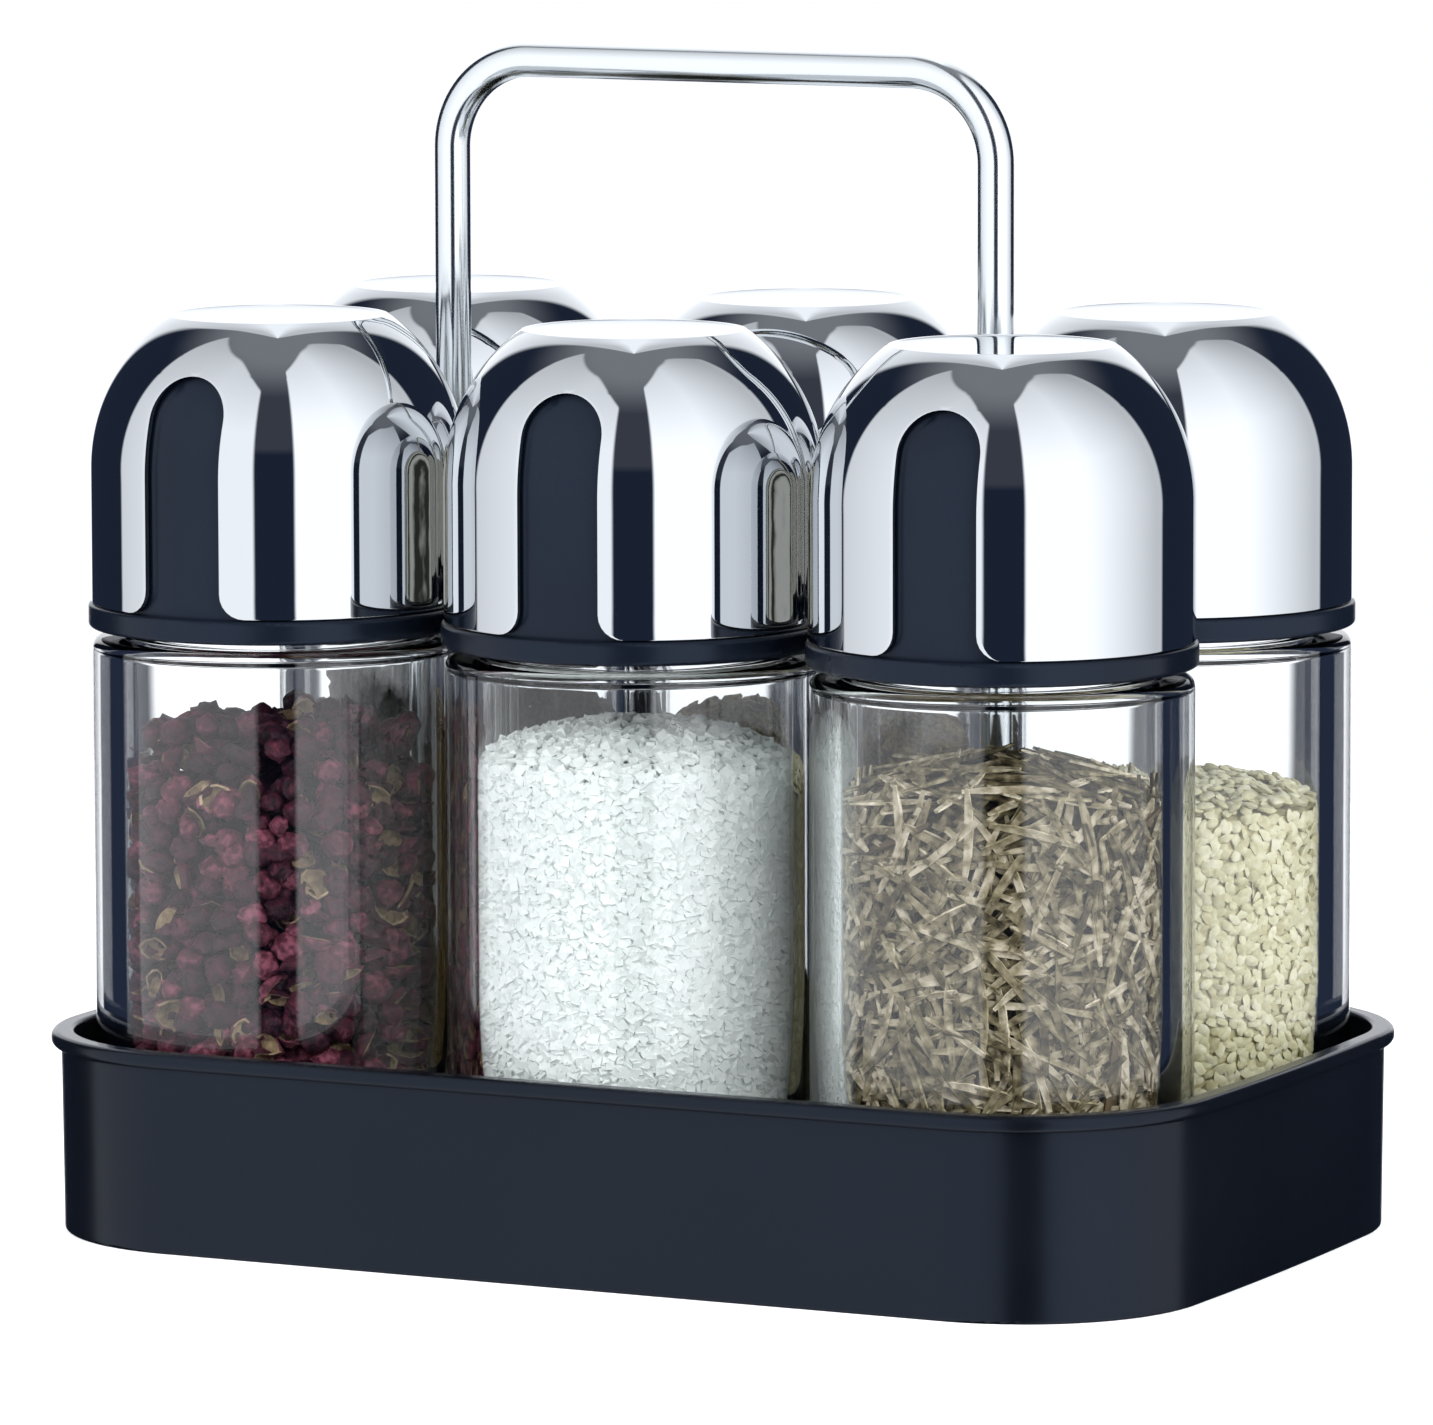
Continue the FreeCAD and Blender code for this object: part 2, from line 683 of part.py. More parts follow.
pitch, spacing = value_of("jar_pitch"), value_of("row_spacing")
hub_end = value_of("hub_bottom")
for row, row_sign in (("front", -1), ("back", 1)):
    for column, column_sign in (("left", -1), ("middle", 0), ("right", 1)):
        spot = f"{row}_{column}"
        x, y, turn = column_sign * pitch, row_sign * spacing / 2, CAP_TURN[spot]
        pieces.append(placed(f"glass_jar_{spot}", glass_jar, x, y))
        pieces.append(placed(f"seal_ring_{spot}", seal_ring, x, y))
        pieces.append(placed(f"cap_base_{spot}", cap_base, x, y, 0, turn))
        pieces.append(placed(f"chrome_shell_{spot}", chrome_shell, x, y, 0, turn))
        pieces.append(placed(f"pivot_washer_{spot}", pivot_washer, x, y, hub_end - washer))
        pieces.append(placed(f"pivot_screw_{spot}", pivot_screw, x, y, hub_end - washer))
doc.recompute()

for item in doc.Objects:
    if {"Invalid", "Error"} & set(item.State):
        raise RuntimeError(f"{item.Label} did not build: {item.State}")

os.makedirs("parts", exist_ok=True)
shapes = {piece.Label: Part.getShape(piece) for piece in pieces}
for label, shape in shapes.items():
    if shape.isNull() or not shape.isValid() or len(shape.Solids) != 1:
        raise RuntimeError(f"{label} is not one valid solid")
for label, shape in shapes.items():
    shape.exportStep(f"parts/{label}.step")
    print(f"{label:28s} {shape.Volume:10.1f} mm3")
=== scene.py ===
"""The looks of a six-jar spice rack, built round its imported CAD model. Metres, +Z up, -Y is the front."""

import math
import random

import bmesh
import bpy
from mathutils import Euler, Matrix, Vector


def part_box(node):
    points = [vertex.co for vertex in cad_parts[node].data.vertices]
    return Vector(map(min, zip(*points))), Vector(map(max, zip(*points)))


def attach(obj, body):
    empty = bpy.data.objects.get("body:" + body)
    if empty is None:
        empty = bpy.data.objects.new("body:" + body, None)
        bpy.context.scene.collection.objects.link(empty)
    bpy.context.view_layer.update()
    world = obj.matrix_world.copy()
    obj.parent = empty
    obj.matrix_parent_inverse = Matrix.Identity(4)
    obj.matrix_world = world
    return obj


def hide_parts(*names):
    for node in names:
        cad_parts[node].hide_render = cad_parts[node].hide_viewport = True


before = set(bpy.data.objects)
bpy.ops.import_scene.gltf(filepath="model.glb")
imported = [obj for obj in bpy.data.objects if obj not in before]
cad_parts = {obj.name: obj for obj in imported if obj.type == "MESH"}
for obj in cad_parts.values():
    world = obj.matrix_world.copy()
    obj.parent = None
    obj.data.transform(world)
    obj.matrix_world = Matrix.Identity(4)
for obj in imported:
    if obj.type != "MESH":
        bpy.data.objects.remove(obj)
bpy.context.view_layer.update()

# ---------------------------------------------------------------- tray
# One injection moulding in black ABS: a skirt, a floor with six round cells, and a wall that
# leans out slightly and ends in a rolled lip. The tool's fine spark texture makes it satin.

MM = 0.001
SMEAR_MM = 35
SPARK_HEIGHT = 0.02 * MM


def linear(hex_colour):
    """An sRGB hex value as the linear colour that Blender works in."""
    channels = [int(hex_colour[i:i + 2], 16) / 255 for i in (1, 3, 5)]
    return [c / 12.92 if c <= 0.04045 else ((c + 0.055) / 1.055) ** 2.4 for c in channels] + [1.0]


def add_node(tree, kind, inputs=None, stops=None, **settings):
    """One node with its settings. inputs holds a value or another node's socket for each input, and
    stops the (position, hex colour) pairs of a colour ramp."""
    node = tree.nodes.new("ShaderNode" + kind)
    for name, value in settings.items():
        setattr(node, name, value)
    for name, value in (inputs or {}).items():
        if isinstance(value, bpy.types.NodeSocket):
            tree.links.new(value, node.inputs[name])
        else:
            node.inputs[name].default_value = value
    if stops:
        elements = node.color_ramp.elements
        while len(elements) < len(stops):
            elements.new(0.5)
        for element, (position, colour) in zip(elements, stops):
            element.position = position
            element.color = linear(colour)
    return node


def new_material(name):
    """A material, its empty node tree, and the object coordinates that its patterns follow."""
    material = bpy.data.materials.new(name)
    material.use_nodes = True
    tree = material.node_tree
    tree.nodes.clear()
    place = add_node(tree, "TexCoord").outputs["Object"]
    return material, tree, place


def moulded_abs(name, dark, pale, grain_mm, grain_depth, dull, bright):
    """Black ABS. Spark texture breaks the gloss up, and handling leaves broad faint smears in it."""
    material, tree, place = new_material(name)
    grain = add_node(tree, "TexNoise", {"Vector": place, "Scale": 1 / (grain_mm * MM), "Detail": 3.0})
    smear = add_node(tree, "TexNoise", {"Vector": place, "Scale": 1 / (SMEAR_MM * MM), "Detail": 4.0})
    roughness = add_node(tree, "MapRange", {
        "Value": smear.outputs["Fac"], "From Min": 0.35, "From Max": 0.65,
        "To Min": bright, "To Max": dull})
    bump = add_node(tree, "Bump", {
        "Height": grain.outputs["Fac"], "Strength": grain_depth, "Distance": SPARK_HEIGHT})
    colour = add_node(tree, "ValToRGB", {"Fac": smear.outputs["Fac"]}, [(0.3, dark), (0.7, pale)])
    shader = add_node(tree, "BsdfPrincipled", {
        "Base Color": colour.outputs[0], "Roughness": roughness.outputs[0], "Normal": bump.outputs[0],
        "IOR": 1.53, "Specular IOR Level": 0.34, "Specular Tint": linear("#b4c6e4")})
    add_node(tree, "OutputMaterial", {"Surface": shader.outputs[0]})
    return material


def to_object(name, bm, material, body, sharp=35.0):
    """A finished mesh as an object at the origin, shaded smooth except across sharp edges."""
    mesh = bpy.data.meshes.new(name)
    bm.to_mesh(mesh)
    bm.free()
    mesh.materials.append(material)
    mesh.shade_smooth()
    mesh.set_sharp_from_angle(angle=math.radians(sharp))
    made = bpy.data.objects.new(name, mesh)
    bpy.context.scene.collection.objects.link(made)
    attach(made, body)
    return made


def paint_node(node, material):
    """Gives a CAD node that stays on show its material."""
    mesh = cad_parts[node].data
    mesh.materials.clear()
    mesh.materials.append(material)


tray_abs = moulded_abs("abs_spark_textured_black", "#06080d", "#090c12", 0.35, 0.35, 0.27, 0.21)
paint_node("tray", tray_abs)

# ---------------------------------------------------------------- handle
# A 5 mm steel rod bent twice on a round die and chrome plated. It stands in the tray's two
# bosses, where a screw from below pulls it down.

handle_low, handle_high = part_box("handle")
rod_radius = (handle_high.y - handle_low.y) / 2
leg_x = handle_high.x - rod_radius
bar_z = handle_high.z - rod_radius
BEND_RADIUS = 12.5 * MM
ROD_SIDES = 48
BEND_STEPS = 24
RIPPLE_HEIGHT = 0.05 * MM
LAST_MIRRORING = 2.5
PAINTED_REFLECTION_STRIPE_MM = 1.3
WAVES_PER_SCALE = 0.3  # a wave texture of scale 1 repeats about every 0.3 units


def plated(name, colour, roughness, ripple_mm, ripple_depth):
    """Bright chrome over polished metal: a mirror with the faintest ripple left by polishing. Where two
    pieces mirror each other without end, the surface stops reflecting after the third mirroring and glows in
    warm stripes instead: a painted reflection."""
    material, tree, place = new_material(name)
    ripple = add_node(tree, "TexNoise", {"Vector": place, "Scale": 1 / (ripple_mm * MM), "Detail": 2.0})
    haze = add_node(tree, "MapRange", {
        "Value": ripple.outputs["Fac"], "To Min": roughness * 0.6, "To Max": roughness * 1.4})
    bump = add_node(tree, "Bump", {
        "Height": ripple.outputs["Fac"], "Strength": ripple_depth, "Distance": RIPPLE_HEIGHT})
    mirror = add_node(tree, "BsdfPrincipled", {
        "Base Color": linear(colour), "Metallic": 1.0, "Roughness": haze.outputs[0],
        "Normal": bump.outputs[0]})
    # Past the third mirroring the chrome glows in warm emission stripes: a painted reflection.
    depth = add_node(tree, "LightPath").outputs["Glossy Depth"]
    painted_reflection_mask = add_node(tree, "Math", {0: depth, 1: LAST_MIRRORING}, operation="GREATER_THAN").outputs[0]
    stripes = add_node(tree, "TexWave", {
        "Vector": place, "Scale": WAVES_PER_SCALE / (PAINTED_REFLECTION_STRIPE_MM * MM), "Distortion": 1.5})
    painted_reflection_colour = add_node(tree, "ValToRGB", {"Fac": stripes.outputs["Fac"]},
                      [(0.1, "#4a4942"), (0.45, "#c9c6b6"), (0.9, "#f4f0e4")])
    rest = add_node(tree, "Emission", {"Color": painted_reflection_colour.outputs[0]})
    shader = add_node(tree, "MixShader", {"Fac": painted_reflection_mask, 1: mirror.outputs[0], 2: rest.outputs[0]})
    add_node(tree, "OutputMaterial", {"Surface": shader.outputs[0]})
    return material


def edge_ring(bm, verts):
    """The edges that join a set of vertices."""
    chosen = set(verts)
    return [e for e in bm.edges if e.verts[0] in chosen and e.verts[1] in chosen]


def push(bm, edges, step):
    """Extrudes an open ring of edges by a step and returns the new ring."""
    grown = bmesh.ops.extrude_edge_only(bm, edges=edges)["geom"]
    verts = [g for g in grown if isinstance(g, bmesh.types.BMVert)]
    bmesh.ops.translate(bm, verts=verts, vec=step)
    return edge_ring(bm, verts)


def bend(bm, edges, centre):
    """Carries a ring round a quarter bend about a centre, turning toward +X."""
    swept = bmesh.ops.spin(bm, geom=edges, cent=centre, axis=(0, 1, 0), angle=math.pi / 2, steps=BEND_STEPS)
    verts = [g for g in swept["geom_last"] if isinstance(g, bmesh.types.BMVert)]
    return edge_ring(bm, verts)


bm = bmesh.new()
foot = Matrix.Translation((-leg_x, 0, handle_low.z))
start = bmesh.ops.create_circle(bm, cap_ends=False, radius=rod_radius, segments=ROD_SIDES, matrix=foot)
ring = edge_ring(bm, start["verts"])
ring = push(bm, ring, (0, 0, bar_z - BEND_RADIUS - handle_low.z))
ring = bend(bm, ring, (BEND_RADIUS - leg_x, 0, bar_z - BEND_RADIUS))
ring = push(bm, ring, (2 * (leg_x - BEND_RADIUS), 0, 0))
ring = bend(bm, ring, (leg_x - BEND_RADIUS, 0, bar_z - BEND_RADIUS))
push(bm, ring, (0, 0, handle_low.z + BEND_RADIUS - bar_z))
bmesh.ops.holes_fill(bm, edges=[e for e in bm.edges if e.is_boundary], sides=0)
bmesh.ops.recalc_face_normals(bm, faces=bm.faces)
handle_chrome = plated("chrome_plated_rod", "#e3e7e9", 0.14, 9, 0.04)
handle = to_object("handle_rod", bm, handle_chrome, "rack")
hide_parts("handle")

# ---------------------------------------------------------------- screws and washers
# Zinc-plated steel, under the tray and inside the caps. They stay as the CAD has them.
# The plating is thin, so it reads as slightly blue, uneven and half matt.

BLOOM_MM = 1.5

zinc_steel, tree, place = new_material("zinc_plated_steel")
bloom = add_node(tree, "TexNoise", {"Vector": place, "Scale": 1 / (BLOOM_MM * MM), "Detail": 5.0})
blotch = add_node(tree, "MapRange", {"Value": bloom.outputs["Fac"], "To Min": 0.22, "To Max": 0.42})
bloom_colour = add_node(tree, "ValToRGB", {"Fac": bloom.outputs["Fac"]}, [(0.3, "#a9adb3"), (0.7, "#c6cacd")])
plating = add_node(tree, "BsdfPrincipled", {
    "Base Color": bloom_colour.outputs[0], "Metallic": 1.0, "Roughness": blotch.outputs[0]})
add_node(tree, "OutputMaterial", {"Surface": plating.outputs[0]})
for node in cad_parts:
    if "screw" in node or "washer" in node:
        paint_node(node, zinc_steel)

# ---------------------------------------------------------------- glass jars
# Pressed soda-lime glass, thick in the wall and thicker at the foot, with a rounded heel and
# shoulder and a one-start thread on the neck. The mould leaves the faintest waves in the wall.

SPOTS = [node[len("glass_jar_"):] for node in sorted(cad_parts) if node.startswith("glass_jar_")]


def jar_axis(spot):
    low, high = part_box("glass_jar_" + spot)
    return Vector(((low.x + high.x) / 2, (low.y + high.y) / 2, 0))


sample_low, sample_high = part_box("glass_jar_" + SPOTS[0])
glass_radius = (sample_high.x - sample_low.x) / 2
jar_foot, jar_mouth = sample_low.z, sample_high.z
GLASS_SIDES = 128
HEEL = 3.2 * MM
SHOULDER = 1.5 * MM
SHOULDER_Z = 83.3 * MM
NECK_RADIUS = 21.0 * MM
MOUTH_RADIUS = 18.5 * MM
LIP = 0.8 * MM
BORE_RADIUS = 21.7 * MM
BORE_FOOT_RADIUS = 20.2 * MM
BORE_FOOT_Z = 14 * MM
BORE_TAPER_Z = 38 * MM
BORE_TOP_Z = 81 * MM
THROAT_Z = 83.4 * MM
THROAT_ROUND = 1.2 * MM
BASE_THICKNESS = 5 * MM
PUNT = [(0, 0.7 * MM), (12 * MM, 0.6 * MM), (18 * MM, 0.25 * MM), (20.5 * MM, 0)]
NECK_FILLET = 0.6 * MM
TAPER_STEPS = 8
INNER_CORNER = 3.4 * MM
THREAD_LEAD = 4 * MM
THREAD_TURNS = 1.5
THREAD_START = 87.5 * MM
THREAD_CREST = 22.1 * MM
THREAD_SIDES = 64
THREAD_ROOT = NECK_RADIUS - 0.2 * MM
THREAD_FOOT_HALF = 0.8 * MM
THREAD_CREST_HALF = 0.4 * MM
MOULD_WAVE_MM = 14
MOULD_WAVE_HEIGHT = 0.15 * MM
SMALLEST_EDGE = 0.0005 * MM
JAR_SHARP = 50


def arc(radius_at, height_at, radius, first, last, steps):
    """Points of a profile's round stretch, from one angle to another, in degrees."""
    points = []
    for step in range(steps + 1):
        angle = math.radians(first + (last - first) * step / steps)
        points.append((radius_at + radius * math.cos(angle), height_at + radius * math.sin(angle)))
    return points


def spun(bm, points, sides, closed=False):
    """A profile of (radius, height) points carried once round the Z axis."""
    verts = [bm.verts.new((r, 0, z)) for r, z in points]
    pairs = list(zip(verts, verts[1:])) + ([(verts[-1], verts[0])] if closed else [])
    edges = [bm.edges.new(pair) for pair in pairs]
    bmesh.ops.spin(bm, geom=verts + edges, cent=(0, 0, 0), axis=(0, 0, 1),
                   angle=2 * math.pi, steps=sides, use_merge=True)
    bmesh.ops.remove_doubles(bm, verts=bm.verts, dist=SMALLEST_EDGE)
    bmesh.ops.recalc_face_normals(bm, faces=bm.faces)


def bore_at(height):
    """The jar's inside radius at a height above the table, its bottom corner left out."""
    share = min(max((height - BORE_FOOT_Z) / (BORE_TAPER_Z - BORE_FOOT_Z), 0), 1)
    eased = math.sin(share * math.pi / 2)
    return BORE_FOOT_RADIUS + (BORE_RADIUS - BORE_FOOT_RADIUS) * eased


def jar_profile():
    """The jar's half section, from the middle of its foot up the outside and down the inside."""
    floor_z = jar_foot + BASE_THICKNESS
    points = [(radius, jar_foot + rise) for radius, rise in PUNT]
    points += arc(glass_radius - HEEL, jar_foot + HEEL, HEEL, -90, 0, 8)
    points += arc(glass_radius - SHOULDER, SHOULDER_Z - SHOULDER, SHOULDER, 0, 90, 8)
    points += arc(NECK_RADIUS + NECK_FILLET, SHOULDER_Z + NECK_FILLET, NECK_FILLET, 270, 180, 3)
    points += arc(NECK_RADIUS - LIP, jar_mouth - LIP, LIP, 0, 90, 4)
    points += arc(MOUTH_RADIUS + LIP, jar_mouth - LIP, LIP, 90, 180, 4)
    points += arc(MOUTH_RADIUS + THROAT_ROUND, THROAT_Z + THROAT_ROUND / 4, THROAT_ROUND, 180, 228, 5)
    points += arc(BORE_RADIUS - THROAT_ROUND, BORE_TOP_Z - THROAT_ROUND / 4, THROAT_ROUND, 48, 0, 5)
    for step in range(TAPER_STEPS + 1):
        height = BORE_TAPER_Z + (BORE_FOOT_Z - BORE_TAPER_Z) * step / TAPER_STEPS
        points.append((bore_at(height), height))
    points += arc(BORE_FOOT_RADIUS - INNER_CORNER, floor_z + INNER_CORNER, INNER_CORNER, 0, -90, 8)
    points.append((0, floor_z))
    return points


clear_glass, tree, place = new_material("pressed_soda_lime_glass")
wave = add_node(tree, "TexNoise", {"Vector": place, "Scale": 1 / (MOULD_WAVE_MM * MM), "Detail": 1.0})
wave_bump = add_node(tree, "Bump", {
    "Height": wave.outputs["Fac"], "Strength": 0.10, "Distance": MOULD_WAVE_HEIGHT})
glass_body = add_node(tree, "BsdfPrincipled", {
    "Base Color": linear("#fdfefe"), "Roughness": 0.0, "IOR": 1.47,
    "Transmission Weight": 1.0, "Normal": wave_bump.outputs[0]})
lets_light = add_node(tree, "BsdfTransparent", {"Color": linear("#f6f8f8")})
ray = add_node(tree, "LightPath")
glass_shader = add_node(tree, "MixShader", {
    "Fac": ray.outputs["Is Shadow Ray"], 1: glass_body.outputs[0], 2: lets_light.outputs[0]})
add_node(tree, "OutputMaterial", {"Surface": glass_shader.outputs[0]})

bm = bmesh.new()
spun(bm, jar_profile(), GLASS_SIDES)
tooth = [(THREAD_ROOT, -THREAD_FOOT_HALF), (THREAD_CREST, -THREAD_CREST_HALF),
         (THREAD_CREST, THREAD_CREST_HALF), (THREAD_ROOT, THREAD_FOOT_HALF)]
tooth_verts = [bm.verts.new((r, 0, THREAD_START + z)) for r, z in tooth]
tooth_face = bm.faces.new(tooth_verts)
turned_steps = int(THREAD_SIDES * THREAD_TURNS)
ridge = bmesh.ops.spin(
    bm, geom=[tooth_face, *tooth_face.edges, *tooth_verts], cent=(0, 0, 0), axis=(0, 0, 1),
    angle=2 * math.pi * THREAD_TURNS, steps=turned_steps,
    dvec=(0, 0, THREAD_LEAD * THREAD_TURNS / turned_steps))
bmesh.ops.recalc_face_normals(bm, faces=bm.faces)
jar_pattern = bpy.data.meshes.new("jar_pattern")
bm.to_mesh(jar_pattern)
bm.free()


def placed_copy(pattern, spot, turn=0.0):
    """A pattern mesh moved to a jar's place and turned about its axis, as a bmesh."""
    copied = bmesh.new()
    copied.from_mesh(pattern)
    copied.transform(Matrix.Translation(jar_axis(spot)) @ Matrix.Rotation(turn, 4, "Z"))
    return copied


for spot in SPOTS:
    pressed = placed_copy(jar_pattern, spot)
    jar = to_object(f"jar_{spot}", pressed, clear_glass, f"jar_{spot}", JAR_SHARP)
    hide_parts(f"glass_jar_{spot}")

# ---------------------------------------------------------------- spices
# Whole dried spices, poured in and settled. Each jar's filling is one piece: grains that press on the glass,
# lie in the heap on top and on the floor, round a core that closes the gaps behind them. The core takes the
# dark end of the spice's colours, as painted shade in those gaps.

CORE_SIDES = 48
CORE_STEPS = 8
HEAP_STEPS = 5
GLASS_GAP = 0.1 * MM
GRAIN_VARIANTS = 10
GRAIN_SHARP = 60
HUSK_CRUMPLE = 0.19
HUSK_MOUTH = 0.15
HUSK_WALL = 0.07
CRYSTAL_WEAR = 0.25
SEED_CRUMPLE = 0.05
NEEDLE_SIDES = 6
LAYER_SHARE = 0.7
NEEDLE_SECTIONS = ((1.5, 0.8), (1.1, 0.2), (0.9, -0.3), (0.5, -0.9))


def roughened(bm, share, chance):
    """Moves every point by up to a share of its distance from the middle, as drying does."""
    for vert in bm.verts:
        vert.co *= 1 + chance.uniform(-share, share)


def husk(length, width, thick, opened, chance):
    """A dried peppercorn husk. An opened one has lost its top, so its pale lining shows."""
    bm = bmesh.new()
    bmesh.ops.create_uvsphere(bm, u_segments=9, v_segments=7, radius=0.5)
    roughened(bm, HUSK_CRUMPLE, chance)
    lining_and_groove_shade = bm.faces.layers.float.new("lining_and_groove_shade")
    if opened:
        top = [face for face in bm.faces if face.calc_center_median().z > HUSK_MOUTH]
        bmesh.ops.delete(bm, geom=top, context="FACES")
        bmesh.ops.solidify(bm, geom=bm.faces[:], thickness=HUSK_WALL)
        for face in bm.faces:
            towards = face.normal.dot(face.calc_center_median())
            face[lining_and_groove_shade] = 1.0 if towards < 0.1 else 0.0
        bmesh.ops.scale(bm, vec=(chance.uniform(0.75, 1.0), chance.uniform(1.0, 1.2), 0.9), verts=bm.verts)
    bmesh.ops.scale(bm, vec=(width, length, thick), verts=bm.verts)
    return bm


def crystal(length, width, thick, opened, chance):
    """A salt crystal: a cube with worn, uneven corners."""
    bm = bmesh.new()
    bmesh.ops.create_cube(bm, size=0.85)
    roughened(bm, CRYSTAL_WEAR, chance)
    bmesh.ops.scale(bm, vec=(width, length, thick), verts=bm.verts)
    return bm


def needle(length, width, thick, opened, chance):
    """A dried leaf needle: narrow, bowed and twisted, with its edges rolled in to leave a groove."""
    bm = bmesh.new()
    deep = bm.verts.layers.float.new("deep")
    lining_and_groove_shade = bm.faces.layers.float.new("lining_and_groove_shade")
    ring = bmesh.ops.create_circle(bm, cap_ends=True, radius=0.5, segments=NEEDLE_SIDES)["verts"]
    ring[0][deep] = 1.0
    ring[0].co *= 0.1
    bmesh.ops.rotate(bm, verts=ring, cent=(0, 0, 0), matrix=Matrix.Rotation(math.pi / 2, 3, "X"))
    bmesh.ops.scale(bm, verts=ring, vec=(width * 0.6, 1, thick * 0.6))
    bmesh.ops.translate(bm, verts=ring, vec=(0, -length / 2, 0))
    bow, twist = chance.uniform(-0.10, 0.10), chance.uniform(-0.3, 0.3)
    faces = list(bm.faces)
    for swell, drift in NEEDLE_SECTIONS:
        grown = bmesh.ops.extrude_discrete_faces(bm, faces=faces)["faces"]
        faces = list(grown)
        verts = list(faces[0].verts)
        bmesh.ops.translate(bm, verts=verts, vec=(bow * drift * length / 2, length / 4, 0))
        middle = faces[0].calc_center_median()
        bmesh.ops.rotate(bm, verts=verts, cent=middle, matrix=Matrix.Rotation(twist, 3, "Y"))
        bmesh.ops.scale(bm, verts=verts, vec=(swell, 1, swell), space=Matrix.Translation(-middle))
    # The groove's two faces take 0.45 of the darker second colour: painted shade in the groove.
    for face in bm.faces:
        if len(face.verts) == 4:
            face[lining_and_groove_shade] = 0.45 * max(vert[deep] for vert in face.verts)
    bm.verts.layers.float.remove(deep)
    bmesh.ops.recalc_face_normals(bm, faces=bm.faces)
    return bm


def seed(length, width, thick, opened, chance):
    """A flat drop-shaped seed with one pointed end."""
    bm = bmesh.new()
    bmesh.ops.create_uvsphere(bm, u_segments=5, v_segments=4, radius=0.5)
    bmesh.ops.rotate(bm, verts=bm.verts, cent=(0, 0, 0), matrix=Matrix.Rotation(math.pi / 2, 3, "X"))
    for vert in bm.verts:
        taper = 1.1 - 0.8 * max(vert.co.y + 0.1, 0)
        vert.co.x *= taper
        vert.co.z *= taper
    roughened(bm, SEED_CRUMPLE, chance)
    bmesh.ops.scale(bm, vec=(width, length, thick), verts=bm.verts)
    return bm


def spread(first, last, steps):
    """Evenly spaced heights after the first, up to and with the last."""
    return [first + (last - first) * (step + 1) / steps for step in range(steps)]


def bore_radius_at(height):
    """The jar's inside radius at a height above the table, its round bottom corner included."""
    corner = jar_foot + BASE_THICKNESS + INNER_CORNER
    if height >= corner:
        return bore_at(height)
    rise = min(corner - height, INNER_CORNER)
    return BORE_FOOT_RADIUS - INNER_CORNER + math.sqrt(INNER_CORNER ** 2 - rise ** 2)


def grain_patterns(shape, size, opened, chance):
    """A handful of different grains, as meshes whose faces each carry a shade and a share of second colour,
    for a husk's pale inside, a stem or the painted shade in a needle's groove.
    """
    patterns = []
    for index in range(GRAIN_VARIANTS):
        grown = chance.uniform(0.8, 1.15)
        made = shape(*[edge * grown for edge in size], index < opened * GRAIN_VARIANTS, chance)
        pattern = bpy.data.meshes.new("grain")
        made.to_mesh(pattern)
        made.free()
        pattern.attributes.new("tone", "FLOAT", "FACE")
        if "lining_and_groove_shade" not in pattern.attributes:
            pattern.attributes.new("lining_and_groove_shade", "FLOAT", "FACE")
        patterns.append(pattern)
    return patterns


